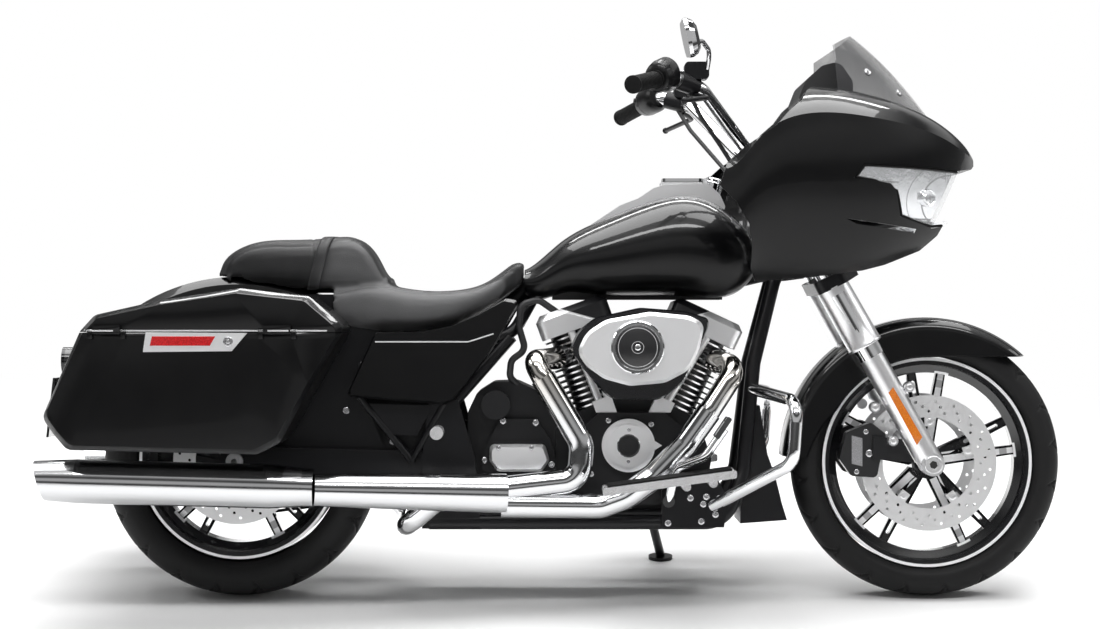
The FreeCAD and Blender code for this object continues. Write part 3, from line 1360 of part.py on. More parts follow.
def gearbox():
    body = rounded_prism(
        outline(GEARBOX_SHARES, GEARBOX_BOX), -CASE_HALF_WIDE, CASE_HALF_WIDE, GEARBOX_BEND
    )
    plate = rounded_prism(
        outline(GEARBOX_PLATE_SHARES, GEARBOX_PLATE_BOX), -GEARBOX_PLATE_OUT, 0, OVERRUN
    )
    starter = cross_rod(STARTER_X, STARTER_Z, -GEARBOX_COVER_OUT + OVERRUN, 0, STARTER_RADIUS)
    return joined([body, plate, starter])


def gearbox_cover():
    points = outline(GEARBOX_COVER_SHARES, GEARBOX_COVER_BOX)
    near, far = -GEARBOX_PLATE_OUT - SEAT_GAP, -GEARBOX_COVER_OUT
    return stacked(points, ((near, 0), (far + OVERRUN, 0), (far, OVERRUN / 2)), OVERRUN)


def racetrack(rear_radius, front_radius, y0, y1):
    parts = [
        cross_rod(PRIMARY_REAR_X, PRIMARY_Z, y0, y1, rear_radius),
        cross_rod(CRANK_X, PRIMARY_Z, y0, y1, front_radius),
    ]
    quad = [
        (PRIMARY_REAR_X, PRIMARY_Z - rear_radius), (CRANK_X, PRIMARY_Z - front_radius),
        (CRANK_X, PRIMARY_Z + front_radius), (PRIMARY_REAR_X, PRIMARY_Z + rear_radius),
    ]
    parts.append(prism(quad, y0, y1))
    return joined(parts)


def primary_cover():
    body = racetrack(PRIMARY_REAR_RADIUS, PRIMARY_FRONT_RADIUS, PRIMARY_IN, PRIMARY_OUT)
    dome = racetrack(
        PRIMARY_REAR_RADIUS - PRIMARY_STEP, PRIMARY_FRONT_RADIUS - PRIMARY_STEP, PRIMARY_OUT,
        PRIMARY_OUT + PRIMARY_DOME,
    )
    neck = cross_rod(
        CRANK_X, PRIMARY_Z, CASE_HALF_WIDE + SEAT_GAP, PRIMARY_IN,
        PRIMARY_FRONT_RADIUS * PRIMARY_NECK_SHARE,
    )
    return joined([body, dome, neck])


def drive_pulley():
    face = CASE_HALF_WIDE + SEAT_GAP
    return cross_rod(
        DRIVE_PULLEY_X, DRIVE_PULLEY_Z, face, BELT_INNER_SIDE + BELT_WIDE, DRIVE_PULLEY_RADIUS
    )


def belt_ring(rear_radius, front_radius, y0, y1):
    gap = math.hypot(DRIVE_PULLEY_X, DRIVE_PULLEY_Z - REAR_TYRE_RADIUS)
    tilt = math.atan2(DRIVE_PULLEY_Z - REAR_TYRE_RADIUS, DRIVE_PULLEY_X)
    spread = math.acos((rear_radius - front_radius) / gap)
    quad = []
    for side in (1, -1):
        a = tilt + side * spread
        pair_of = [
            (rear_radius * math.cos(a), REAR_TYRE_RADIUS + rear_radius * math.sin(a)),
            (DRIVE_PULLEY_X + front_radius * math.cos(a), DRIVE_PULLEY_Z + front_radius * math.sin(a)),
        ]
        quad += pair_of if side > 0 else pair_of[::-1]
    parts = [
        cross_rod(0, REAR_TYRE_RADIUS, y0, y1, rear_radius),
        cross_rod(DRIVE_PULLEY_X, DRIVE_PULLEY_Z, y0, y1, front_radius), prism(quad, y0, y1),
    ]
    return joined(parts)


def belt():
    near, far = BELT_INNER_SIDE, BELT_INNER_SIDE + BELT_WIDE
    outer = belt_ring(
        PULLEY_RADIUS + BELT_GAP + BELT_THICK, DRIVE_PULLEY_RADIUS + SEAT_GAP + BELT_THICK, near, far
    )
    inner = belt_ring(
        PULLEY_RADIUS + BELT_GAP, DRIVE_PULLEY_RADIUS + SEAT_GAP, near - OVERRUN, far + OVERRUN
    )
    return outer.cut(inner)


def frame():
    rail = tube(places(DOWN_TUBE_SHARES, *DOWN_TUBE_BOX), RAIL_RADIUS, FRAME_BEND)
    seat_rail = tube(places(SEAT_RAIL_SHARES, *SEAT_RAIL_BOX), SEAT_RAIL_RADIUS, FRAME_BEND)
    plate = prism(outline(PIVOT_PLATE_SHARES, PIVOT_PLATE_BOX), PIVOT_PLATE_IN, PIVOT_PLATE_OUT)
    foot = prism(outline(FOOT_BRACKET_SHARES, FOOT_BRACKET_BOX), FOOT_BRACKET_IN, FOOT_BRACKET_OUT)
    link = cross_rod(
        FOOT_BRACKET_BOX[0] + FOOT_BRACKET_BOX[2] / 2, DOWN_TUBE_LOW, PIVOT_PLATE_IN, FOOT_BRACKET_OUT,
        CROSS_RADIUS * BRACKET_LINK_SHARE,
    )
    foot_of_upright = V(PIVOT_X, PIVOT_PLATE_OUT - SEAT_RAIL_RADIUS, PIVOT_PLATE_TOP - CROSS_RADIUS)
    upright = rod(foot_of_upright, places(SEAT_RAIL_SHARES, *SEAT_RAIL_BOX)[1], SEAT_RAIL_RADIUS)
    upper, lower, fore = places(MID_TUBES_SHARES, *MID_TUBES_BOX)
    rear_tube = rod(upper, lower, MID_TUBE_RADIUS)
    stay = rod(upper, V(upper.x, SEAT_RAIL_SIDE, SEAT_RAIL_BOX[0][2]), MID_TUBE_RADIUS)
    front_tube = rod(lower, fore, MID_TUBE_RADIUS)
    panel = prism(outline(MID_PANEL_SHARES, MID_PANEL_BOX), MID_PANEL_IN, MID_PANEL_OUT)
    sides = [rail, seat_rail, plate, foot, link, upright, rear_tube, stay, front_tube, panel]
    head = rod(steer_axis_point(HEAD_LOW), steer_axis_point(HEAD_HIGH), HEAD_RADIUS)
    backbone = tube(places(BACKBONE_SHARES, *BACKBONE_BOX), BACKBONE_RADIUS, FRAME_BEND)
    half = PIVOT_PLATE_IN + RAIL_RADIUS / 4
    parts = [head, backbone]
    for piece in sides:
        parts += [piece, mirrored(piece)]
    parts.append(cross_rod(PIVOT_X - SWING_CROSS_RADIUS * 2, DOWN_TUBE_LOW, -half, half, CROSS_RADIUS))
    parts.append(cross_rod(FRONT_CROSS_X, DOWN_TUBE_LOW, -half, half, CROSS_RADIUS))
    parts.append(
        cross_rod(PIVOT_X, PIVOT_Z, -half - RAIL_RADIUS / 2, half + RAIL_RADIUS / 2, PIVOT_RADIUS)
    )
    parts.append(cross_rod(SHOCK_TOP_X, SHOCK_TOP_Z, -SEAT_RAIL_SIDE, SEAT_RAIL_SIDE, PIVOT_RADIUS))
    whole = joined(parts)
    bore = rod(
        steer_axis_point(HEAD_LOW - OVERRUN), steer_axis_point(HEAD_HIGH + OVERRUN), STEM_RADIUS + PIN_GAP
    )
    return whole.cut(bore)


def swingarm():
    points = outline(ARM_SHARES, ARM_BOX)
    arm = prism(points, ARM_IN, ARM_OUT)
    parts = [arm, mirrored(arm), cross_rod(SWING_CROSS_X, PIVOT_Z, -ARM_IN, ARM_IN, SWING_CROSS_RADIUS)]
    shock = places(SHOCK_SHARES, *SHOCK_BOX)
    parts.append(rod(V(SWING_CROSS_X, 0, PIVOT_Z), shock[0], SHOCK_ROD_RADIUS * SHOCK_MOUNT_SHARE))
    whole = joined(parts)
    whole = whole.cut(
        cross_rod(PIVOT_X, PIVOT_Z, -ARM_OUT - OVERRUN, ARM_OUT + OVERRUN, PIVOT_RADIUS + SEAT_GAP)
    )
    return whole.cut(
        cross_rod(0, REAR_TYRE_RADIUS, -ARM_OUT - OVERRUN, ARM_OUT + OVERRUN, AXLE_RADIUS + SEAT_GAP)
    )


def breather_hose(others):
    return trimmed(
        tube(places(BREATHER_HOSE_SHARES, *BREATHER_HOSE_BOX), HOSE_RADIUS, GUARD_BEND / 2), others
    )


def rear_axle():
    parts = [cross_rod(0, REAR_TYRE_RADIUS, -REAR_AXLE_HALF, REAR_AXLE_HALF, AXLE_RADIUS)]
    for side in (-1, 1):
        near, far = REAR_HUB_HALF + MOVING_GAP, ARM_IN - SEAT_GAP
        low, high = sorted((side * near, side * far))
        parts.append(cross_rod(0, REAR_TYRE_RADIUS, low, high, REAR_SPACER_RADIUS))
        low, high = sorted((side * (ARM_OUT + SEAT_GAP), side * (REAR_AXLE_HALF - OVERRUN / 2)))
        parts.append(cross_rod(0, REAR_TYRE_RADIUS, low, high, REAR_SPACER_RADIUS))
    whole = joined(parts)
    return whole.cut(
        cross_rod(0, REAR_TYRE_RADIUS, -REAR_AXLE_HALF - OVERRUN, REAR_AXLE_HALF + OVERRUN, AXLE_BORE)
    )


def rear_shock(others):
    low, high = places(SHOCK_SHARES, *SHOCK_BOX)
    along = high.sub(low)
    start, end = [low.add(V(along).multiply(share)) for share in SHOCK_BODY_SHARES]
    body = joined([rod(low, high, SHOCK_ROD_RADIUS), rod(start, end, SHOCK_RADIUS)])
    return trimmed(body, others)


def exhaust_headers(others):
    rear = places(REAR_HEADER_SHARES, *REAR_HEADER_BOX)
    front = places(FRONT_HEADER_SHARES, *FRONT_HEADER_BOX)
    back, fore = places(COLLECTOR_SHARES, *COLLECTOR_BOX)
    along = fore.sub(back)
    cone = Part.makeCone(COLLECTOR_REAR_RADIUS, COLLECTOR_FRONT_RADIUS, along.Length, back, along)
    shields = [tube(points[2:], SHIELD_RADIUS, HEADER_BEND) for points in (rear, front)]
    whole = joined(
        [cone, tube(rear, HEADER_RADIUS, HEADER_BEND), tube(front, HEADER_RADIUS, HEADER_BEND)] + shields
    )
    return trimmed(whole, others)


def crossover_pipe(others):
    points = places(CROSSOVER_SHARES, *CROSSOVER_BOX)
    return trimmed(tube(points, CROSSOVER_RADIUS, HEADER_BEND), others)


def muffler():
    rear, front = V(MUFFLER_REAR_X, 0, MUFFLER_REAR_Z), V(MUFFLER_FRONT_X, 0, MUFFLER_FRONT_Z)
    long = rear.distanceToPoint(front)
    neck, tip = MUFFLER_RADIUS * MUFFLER_NECK_SHARE, MUFFLER_TIP_RADIUS
    profile = [
        (0, 0), (COLLECTOR_REAR_RADIUS + RIM_WALL, 0), (
            COLLECTOR_REAR_RADIUS + RIM_WALL, MUFFLER_RADIUS * 0.5
        ),
        (neck, MUFFLER_RADIUS * MUFFLER_THROAT_SHARE), (MUFFLER_RADIUS, MUFFLER_RADIUS * 2), (
            MUFFLER_RADIUS, long - MUFFLER_RADIUS * 2
        ),
        (tip, long), (tip - RIM_WALL / 2, long), (tip - RIM_WALL / 2, long - MUFFLER_MOUTH), (
            0, long - MUFFLER_MOUTH
        ),
    ]
    shape = spun_about(profile, front, rear.sub(front))
    lip = MUFFLER_RADIUS + OVERRUN
    cut = prism([
        (MUFFLER_REAR_X - lip, MUFFLER_REAR_Z - lip), (
            MUFFLER_REAR_X + MUFFLER_CUT, MUFFLER_REAR_Z - lip
        ),
        (MUFFLER_REAR_X, MUFFLER_REAR_Z + lip), (MUFFLER_REAR_X - lip, MUFFLER_REAR_Z + lip),
    ], -lip, lip)
    shape = shape.cut(cut)
    shape.translate(V(0, -MUFFLER_SIDE, 0))
    return shape


def fuel_tank():
    body = lofted(TANK_FORM_SHARES, stations(TANK_SHARES, TANK_BOX))
    tunnel = box(
        TANK_BOX[0] - OVERRUN, TANK_BOX[0] + TANK_BOX[2] + OVERRUN, -TUNNEL_HALF, TUNNEL_HALF,
        TANK_BOX[1] - OVERRUN * 2, TUNNEL_HIGH,
    )
    return body.cut(tunnel)


def filler_box(grow):
    return box(
        FILLER_BACK, FILLER_BACK + FILLER_LONG, -FILLER_HALF, FILLER_HALF, FILLER_FLOOR, DOOR_UNDER + grow
    )


def tank_console(tank):
    body = rounded_prism(outline(CONSOLE_SHARES, CONSOLE_BOX), -CONSOLE_HALF, CONSOLE_HALF, CONSOLE_BEND)
    body = body.fuse(
        box(
            FILLER_BACK - OVERRUN, FILLER_BACK + FILLER_LONG + OVERRUN, -DOOR_HALF, DOOR_HALF,
            FILLER_FLOOR - OVERRUN * 2, DOOR_UNDER - DOOR_LIFT,
        )
    )
    body = body.cut(filler_box(OVERRUN * 2))
    body = trimmed(body, tank)
    cap = Part.makeCylinder(
        FILLER_CAP_RADIUS, FILLER_CAP_TALL, V(FILLER_BACK + FILLER_LONG / 2, 0, FILLER_FLOOR)
    )
    lug = box(
        HINGE_X - HINGE_RADIUS, HINGE_X + HINGE_RADIUS, -DOOR_HINGE_LONG / 2, DOOR_HINGE_LONG / 2,
        FILLER_FLOOR, HINGE_Z - HINGE_RADIUS - PIN_GAP,
    )
    ears = []
    for side in (-1, 1):
        low, high = sorted(
            (side * (DOOR_HINGE_LONG / 2 + PIN_GAP), side * (DOOR_HINGE_LONG / 2 + OVERRUN))
        )
        ears.append(cross_rod(HINGE_X, HINGE_Z, low, high, HINGE_RADIUS))
        ears.append(box(HINGE_X - HINGE_RADIUS, HINGE_X + HINGE_RADIUS, low, high, FILLER_FLOOR, HINGE_Z))
    pin = cross_rod(
        HINGE_X, HINGE_Z, -DOOR_HINGE_LONG / 2 - OVERRUN, DOOR_HINGE_LONG / 2 + OVERRUN, HINGE_PIN_RADIUS
    )
    return joined([body, cap, pin] + ears + [lug])


def fuel_door():
    ring = rounded_ring([
        V(DOOR_BACK, -DOOR_HALF, DOOR_UNDER), V(DOOR_BACK + DOOR_LONG, -DOOR_HALF, DOOR_UNDER),
        V(DOOR_BACK + DOOR_LONG, DOOR_HALF, DOOR_UNDER), V(DOOR_BACK, DOOR_HALF, DOOR_UNDER),
    ], DOOR_BEND)
    plate = Part.Face(ring).extrude(V(0, 0, DOOR_THICK))
    knuckle = cross_rod(HINGE_X, HINGE_Z, -DOOR_HINGE_LONG / 2, DOOR_HINGE_LONG / 2, HINGE_RADIUS)
    web = box(
        DOOR_BACK + DOOR_LONG - DOOR_BEND, HINGE_X, -DOOR_HINGE_LONG / 2, DOOR_HINGE_LONG / 2,
        HINGE_Z - HINGE_PIN_RADIUS, DOOR_UNDER + DOOR_THICK,
    )
    whole = joined([plate, knuckle, web])
    return whole.cut(
        cross_rod(HINGE_X, HINGE_Z, -DOOR_HINGE_LONG, DOOR_HINGE_LONG, HINGE_PIN_RADIUS + PIN_GAP)
    )


def stations(shares, size):
    back, low, long, tall, wide = size
    return [(back + long * x, wide * w, low + tall * a, low + tall * b) for x, w, a, b in shares]


def seat(others):
    rider = lofted(SEAT_FORM_SHARES, stations(RIDER_SEAT_SHARES, RIDER_SEAT_BOX))
    pillion = lofted(SEAT_FORM_SHARES, stations(PILLION_SHARES, PILLION_BOX))
    whole = rider.fuse(pillion).removeSplitter()
    return trimmed(whole, others)


def side_cover():
    points = outline(SIDE_COVER_SHARES, SIDE_COVER_BOX)
    levels = (
        (SIDE_COVER_IN, 0), (SIDE_COVER_OUT - SIDE_COVER_BEND / 2, 0),
        (SIDE_COVER_OUT, SIDE_COVER_BEND / 3),
    )
    return stacked(points, levels, SIDE_COVER_BEND / 2)


def battery_box():
    body = prism(outline(BATTERY_SHARES, BATTERY_BOX), SHOCK_RADIUS + MOVING_GAP, BATTERY_HALF)
    x, z = BATTERY_BOX[0] + BATTERY_BOX[2] / 2, BATTERY_BOX[1] + BATTERY_BOX[3] / 2
    return joined(
        [body, cross_rod(x, z, BATTERY_HALF - OVERRUN, SIDE_COVER_IN - SEAT_GAP, COVER_POST_RADIUS)]
    )


def fender_solid(outer, half):
    return cross_rod(0, REAR_TYRE_RADIUS, -half, half, outer)


def rear_fender():
    r, w, s, i = FENDER_RADIUS, FENDER_WALL, FENDER_SIDE_RADIUS, FENDER_HALF
    bend = FENDER_WALL * 3
    ring = [(s, i - w), (r - w - bend, i - w), (r - w, i - w - bend)]
    ring = ring + [(a, -b) for a, b in reversed(ring)]
    outer = [(s, i), (r - bend, i), (r, i - bend)]
    outer = outer + [(a, -b) for a, b in reversed(outer)]
    loop = outer + ring[::-1]
    points = [V(a, b, 0) for a, b in loop]
    face = Part.Face(Part.makePolygon(points + points[:1]))
    shape = face.revolve(V(0, 0, 0), V(0, 1, 0), -FENDER_SWEEP)
    shape.rotate(V(0, 0, 0), V(0, 1, 0), -FENDER_START)
    shape.translate(V(0, 0, REAR_TYRE_RADIUS))
    return shape


def saddlebag_halves():
    points = outline(BAG_SHARES, BAG_BOX)
    outer = stacked(points, ((BAG_IN, 0), (BAG_OUT - BAG_ROUND, 0), (BAG_OUT, BAG_ROUND / 2)), BAG_BEND)
    inner = stacked(points, (
        (BAG_IN + BAG_WALL, BAG_WALL), (BAG_OUT - BAG_ROUND - BAG_WALL / 2, BAG_WALL),
        (BAG_OUT - BAG_WALL, BAG_ROUND / 2 + BAG_WALL),
    ), BAG_BEND - BAG_WALL)
    shell = outer.cut(inner)
    back, front = BAG_BOX[0] - OVERRUN, BAG_BOX[0] + BAG_BOX[2] + OVERRUN
    low, high = BAG_BOX[1] - OVERRUN, BAG_BOX[1] + BAG_BOX[3] + OVERRUN
    bag = shell.common(box(back, front, 0, BAG_OUT + OVERRUN, low, SPLIT_Z - LID_GAP / 2))
    top = shell.common(box(back, front, 0, BAG_OUT + OVERRUN, SPLIT_Z + LID_GAP / 2, high))
    return largest(bag), largest(top)


def saddlebag():
    bag = saddlebag_halves()[0]
    parts = [bag]
    for share in LID_HINGE_X_SHARES:
        x = BAG_BOX[0] + BAG_BOX[2] * share
        for side in (-1, 1):
            low, high = sorted(
                (x + side * (LID_HINGE_LONG / 2 + PIN_GAP * 2), x + side * (LID_HINGE_LONG / 2 + OVERRUN))
            )
            knuckle = Part.makeCylinder(
                HINGE_RADIUS, high - low, V(low, LID_HINGE_Y, SPLIT_Z), V(1, 0, 0)
            )
            web = box(
                low, high, BAG_OUT - BAG_WALL / 2, LID_HINGE_Y + HINGE_RADIUS, SPLIT_Z - HINGE_RADIUS * 3,
                SPLIT_Z,
            )
            parts += [
                knuckle, web.cut(box(low, high, 0, BAG_OUT, SPLIT_Z - LID_GAP / 2, SPLIT_Z + OVERRUN))
            ]
        long = LID_HINGE_LONG + OVERRUN
        parts.append(
            Part.makeCylinder(HINGE_PIN_RADIUS, long, V(x - long / 2, LID_HINGE_Y, SPLIT_Z), V(1, 0, 0))
        )
    return joined(parts)


def bag_lid():
    top = saddlebag_halves()[1]
    parts = [top]
    bores = []
    for share in LID_HINGE_X_SHARES:
        x = BAG_BOX[0] + BAG_BOX[2] * share
        half = LID_HINGE_LONG / 2
        parts.append(
            Part.makeCylinder(HINGE_RADIUS, LID_HINGE_LONG, V(x - half, LID_HINGE_Y, SPLIT_Z), V(1, 0, 0))
        )
        parts.append(
            box(
                x - half, x + half, BAG_OUT - LID_WALL / 2, LID_HINGE_Y + HINGE_RADIUS,
                SPLIT_Z + LID_GAP / 2, SPLIT_Z + HINGE_RADIUS * 3,
            )
        )
        bores.append(
            Part.makeCylinder(
                HINGE_PIN_RADIUS + PIN_GAP, LID_HINGE_LONG * 2,
                V(x - LID_HINGE_LONG, LID_HINGE_Y, SPLIT_Z), V(1, 0, 0),
            )
        )
    whole = joined(parts)
    for bore in bores:
        whole = whole.cut(bore)
    return whole


def reflector():
    points = outline(REFLECTOR_SHARES, REFLECTOR_BOX)
    return prism(points, BAG_OUT + SEAT_GAP, BAG_OUT + SEAT_GAP + REFLECTOR_THICK)


def bag_brackets(others):
    rods = []
    for x in (BAG_BRACKET_BACK, BAG_BRACKET_FRONT):
        for side in (-1, 1):
            low, high = sorted((side * (FENDER_HALF + SEAT_GAP), side * (BAG_IN - SEAT_GAP)))
            rods.append(cross_rod(x, BAG_BRACKET_Z, low, high, BRACKET_RADIUS))
    return Part.makeCompound(rods)


def tail_lamps():
    angle = math.asin((TAIL_LAMP_Z - REAR_TYRE_RADIUS) / FENDER_RADIUS)
    x = -FENDER_RADIUS * math.cos(angle)
    back = x - TAIL_LAMP_LONG
    parts = [cross_rod(back, TAIL_LAMP_Z, -TAIL_LAMP_SIDE, TAIL_LAMP_SIDE, BRACKET_RADIUS)]
    for side in (-1, 1):
        start = V(back + TAIL_LAMP_LONG / 2, side * TAIL_LAMP_SIDE, TAIL_LAMP_Z)
        parts.append(rod(start, start.add(V(-TAIL_LAMP_LONG, 0, 0)), TAIL_LAMP_RADIUS))
    parts.append(rod(V(back, 0, TAIL_LAMP_Z), V(x + TAIL_LAMP_LONG, 0, TAIL_LAMP_Z), BRACKET_RADIUS * 2))
    parts.append(prism(outline(PLATE_SHARES, PLATE_BOX), -PLATE_HALF, PLATE_HALF))
    parts.append(
        rod(
            V(back, 0, TAIL_LAMP_Z),
            V(PLATE_BOX[0] + PLATE_BOX[2] / 2, 0, PLATE_BOX[1] + PLATE_BOX[3] / 2), BRACKET_RADIUS,
        )
    )
    return trimmed(joined(parts), fender_solid(FENDER_RADIUS, FENDER_HALF + FENDER_CLEAR))


def creased_ring(x, half_wide, low, high):
    belly = [V(x, half_wide * a, low + (high - low) * b) for a, b in FAIRING_FORM_SHARES]
    deck = [V(x, half_wide * a, low + (high - low) * b) for a, b in FAIRING_DECK_SHARES]
    under = [V(p.x, -p.y, p.z) for p in reversed(belly[1:])] + belly
    over = deck + [V(p.x, -p.y, p.z) for p in reversed(deck[:-1])]
    return Part.Wire([spline(under), spline(over)])


def fairing_solid(inset):
    rings = []
    for x, wide, low, high in stations(FAIRING_SHARES, FAIRING_BOX):
        rings.append(creased_ring(x - inset, wide - inset, low + inset, high - inset))
    notch = [(x - inset, z) for x, z in outline(NOSE_NOTCH_SHARES, NOSE_NOTCH_BOX)]
    half = FAIRING_BOX[4]
    return largest(Part.makeLoft(rings, True, False).cut(prism(notch, -half, half)))


def lamp_region(inset):
    start = LAMP_INNER + inset
    corners = [V(x, start, z) for x, z in outline(HEADLAMP_SIDE_SHARES, HEADLAMP_SIDE_BOX)]
    flat = Part.Face(Part.makePolygon(corners + corners[:1]))
    if inset:
        flat = flat.makeOffset2D(-inset)
    region = flat.extrude(V(0, FAIRING_BOX[4] - start, 0))
    return [region, mirrored(region)]


def side_region():
    half = FAIRING_BOX[4] + OVERRUN * 4
    return prism(outline(FAIRING_SIDE_SHARES, FAIRING_SIDE_BOX), -half, half)


def fairing_outer():
    shell = fairing_solid(0).common(side_region()).cut(fairing_solid(FAIRING_WALL))
    well = box(
        FORK_WELL_BACK, FORK_WELL_FRONT, -FORK_WELL_HALF, FORK_WELL_HALF, FAIRING_BOX[1] - OVERRUN,
        FORK_WELL_HIGH,
    )
    vent = prism(outline(VENT_SHARES, VENT_BOX), -FAIRING_BOX[4], FAIRING_BOX[4])
    cockpit = prism(outline(COCKPIT_SHARES, COCKPIT_BOX), -COCKPIT_HALF, COCKPIT_HALF)
    return largest(shell.cut([well, vent, cockpit] + lamp_region(0)))


def headlamps():
    layer = fairing_solid(LAMP_INSET).cut(fairing_solid(LAMP_INSET + HEADLAMP_OUT))
    return Part.makeCompound([largest(layer.common(region)) for region in lamp_region(LAMP_GAP)])


def inner_fairing():
    slab = plan(outline(DASH_PLAN_SHARES, DASH_PLAN_BOX), DASH_LOW, DASH_HIGH)
    dash = largest(slab.common(fairing_solid(FAIRING_WALL + SEAT_GAP)).common(side_region()))
    parts = [dash, rounded_prism(outline(HOOD_SHARES, HOOD_BOX), -HOOD_HALF, HOOD_HALF, HOOD_BEND)]
    for side in (-1, 1):
        inner = V(GAUGE_X + OVERRUN * 2, side * GAUGE_SIDE, GAUGE_Z)
        parts.append(rod(inner, V(GAUGE_X - GAUGE_LONG, side * GAUGE_SIDE, GAUGE_Z), GAUGE_RADIUS))
    return joined(parts)


def screen_ring(z, wide, side_x, front_x):
    back_side, back_front = side_x - SCREEN_THICK, front_x - SCREEN_THICK
    edges = [
        Part.Arc(V(side_x, -wide, z), V(front_x, 0, z), V(side_x, wide, z)).toShape(),
        Part.makeLine(V(side_x, wide, z), V(back_side, wide, z)),
        Part.Arc(V(back_side, wide, z), V(back_front, 0, z), V(back_side, -wide, z)).toShape(),
        Part.makeLine(V(back_side, -wide, z), V(side_x, -wide, z)),
    ]
    return Part.Wire(edges)


def windscreen():
    rings = []
    for up, wide, back, front in SCREEN_SHARES:
        rings.append(screen_ring(
            SCREEN_LOW + SCREEN_TALL * up, SCREEN_HALF_WIDE * wide,
            SCREEN_BACK + SCREEN_DEEP * back, SCREEN_BACK + SCREEN_DEEP * front,
        ))
    view = prism(outline(SCREEN_SIDE_SHARES, SCREEN_SIDE_BOX), -SCREEN_HALF_WIDE, SCREEN_HALF_WIDE)
    return trimmed(Part.makeLoft(rings, True, False).common(view), fairing_solid(0))


def fairing_bracket(others):
    head = steer_axis_point((HEAD_LOW + HEAD_HIGH) / 2)
    nose = V(FAIRING_BOX[0] + FAIRING_BOX[2], 0, head.z + BRACKET_HIGH)
    beam = rod(head, nose, BRACKET_RADIUS * NOSE_BEAM_SHARE)
    at = head.x + (nose.x - head.x) * 0.5
    z = head.z + BRACKET_HIGH / 2
    bar = cross_rod(at, z, -FAIRING_BOX[4], FAIRING_BOX[4], BRACKET_RADIUS)
    riser = rod(V(at, 0, z), V(GAUGE_X + OVERRUN * 2, 0, GAUGE_Z), BRACKET_RADIUS)
    core = rod(steer_axis_point(HEAD_LOW), steer_axis_point(HEAD_HIGH), HEAD_RADIUS)
    whole = joined([beam, bar, riser]).cut(core).common(fairing_solid(FAIRING_WALL))
    return trimmed(whole, others)


def oil_cooler(others):
    return trimmed(prism(outline(WEDGE_SHARES, WEDGE_BOX), -WEDGE_HALF, WEDGE_HALF), others)


def engine_guard(others):
    points = places(GUARD_SHARES, *GUARD_BOX)
    side = tube(points, GUARD_RADIUS, GUARD_BEND)
    return Part.makeCompound([trimmed(side, others), trimmed(mirrored(side), others)])


def board_under(x):
    return BOARD_BOX[1] + (x - BOARD_BOX[0]) / BOARD_BOX[2] * BOARD_RISE


def footboard(others):
    board = rounded_prism(outline(BOARD_SHARES, BOARD_BOX), BOARD_IN, BOARD_OUT, BOARD_BEND)
    parts = [board]
    for x in BOARD_ARM_X:
        z = board_under(x) - BOARD_ARM_RADIUS * BOARD_ARM_SINK_SHARE
        parts.append(
            cross_rod(x, z, FOOT_BRACKET_OUT + SEAT_GAP, BOARD_OUT - OVERRUN * 2, BOARD_ARM_RADIUS)
        )
    return joined(parts)


def pedal():
    points = places(PEDAL_SHARES, *PEDAL_BOX)
    arm = tube(points, PEDAL_RADIUS, PEDAL_BEND)
    pivot = cross_rod(
        points[0].x, points[0].z, points[0].y - PEDAL_RADIUS, -FOOT_BRACKET_OUT - SEAT_GAP,
        PEDAL_RADIUS * PEDAL_PIVOT_SHARE,
    )
    end = points[-1]
    long, wide = PEDAL_PAD_LONG / 2, PEDAL_PAD_WIDE / 2
    flat = [
        (end.x - long, end.z), (end.x + long, end.z), (end.x + long, end.z + PEDAL_THICK),
        (end.x - long, end.z + PEDAL_THICK),
    ]
    pad = rounded_prism(flat, end.y - wide, end.y + wide, PEDAL_THICK / 3)
    pad.rotate(end, V(0, 1, 0), -PEDAL_TILT)
    return joined([arm, pivot, pad])


def passenger_pegs():
    peg = cross_rod(PEG_X, PEG_Z, PIVOT_PLATE_OUT + SEAT_GAP, PEG_OUT, PEG_RADIUS)
    return pair(peg)


def stand_vectors():
    foot = V(STAND_FOOT_X, STAND_FOOT_Y, STAND_FOOT_Y * math.tan(math.radians(LEAN)) + STAND_FOOT_THICK)
    pivot = V(STAND_PIVOT_X, STAND_PIVOT_Y, STAND_PIVOT_Z)
    folded = V(*STAND_FOLDED_SHARES)
    axis = foot.sub(pivot).cross(folded).normalize()
    return pivot, foot, axis


def side_stand():
    pivot, foot, axis = stand_vectors()
    half = V(axis).multiply(STAND_BOSS_THICK / 2)
    a = math.radians(LEAN)
    ground = V(0, -math.sin(a), math.cos(a))
    sole = foot.sub(V(ground).multiply(STAND_FOOT_THICK + STAND_SINK))
    parts = [
        rod(pivot, foot, STAND_RADIUS), rod(pivot.sub(half), pivot.add(half), STAND_BOSS_RADIUS),
        rod(sole, sole.add(V(ground).multiply(STAND_FOOT_THICK)), STAND_FOOT_RADIUS),
    ]
    bore = rod(pivot.sub(V(half).multiply(3)), pivot.add(V(half).multiply(3)), STAND_PIN_RADIUS + PIN_GAP)
    return joined(parts).cut(bore)


def stand_bracket(others):
    pivot, foot, axis = stand_vectors()
    top = V(axis).multiply(STAND_BOSS_THICK / 2)
    near = V(axis).multiply(STAND_BOSS_THICK / 2 + PIN_GAP * 2)
    far = V(axis).multiply(STAND_BOSS_THICK)
    plate = rod(pivot.sub(near), pivot.sub(far), STAND_BOSS_RADIUS)
    pin = rod(pivot.sub(far), pivot.add(top), STAND_PIN_RADIUS)
    low = pivot.sub(V(axis).multiply(STAND_BOSS_THICK * STAND_ARM_SHARE))
    arm = rod(V(low.x, DOWN_TUBE_SIDE, DOWN_TUBE_LOW), low, STAND_RADIUS * STAND_ARM_SHARE)
    room = rod(pivot.sub(near), pivot.add(V(far).multiply(2)), STAND_BOSS_RADIUS * 2)
    return trimmed(joined([plate, arm]).cut(room).fuse(pin).removeSplitter(), others)


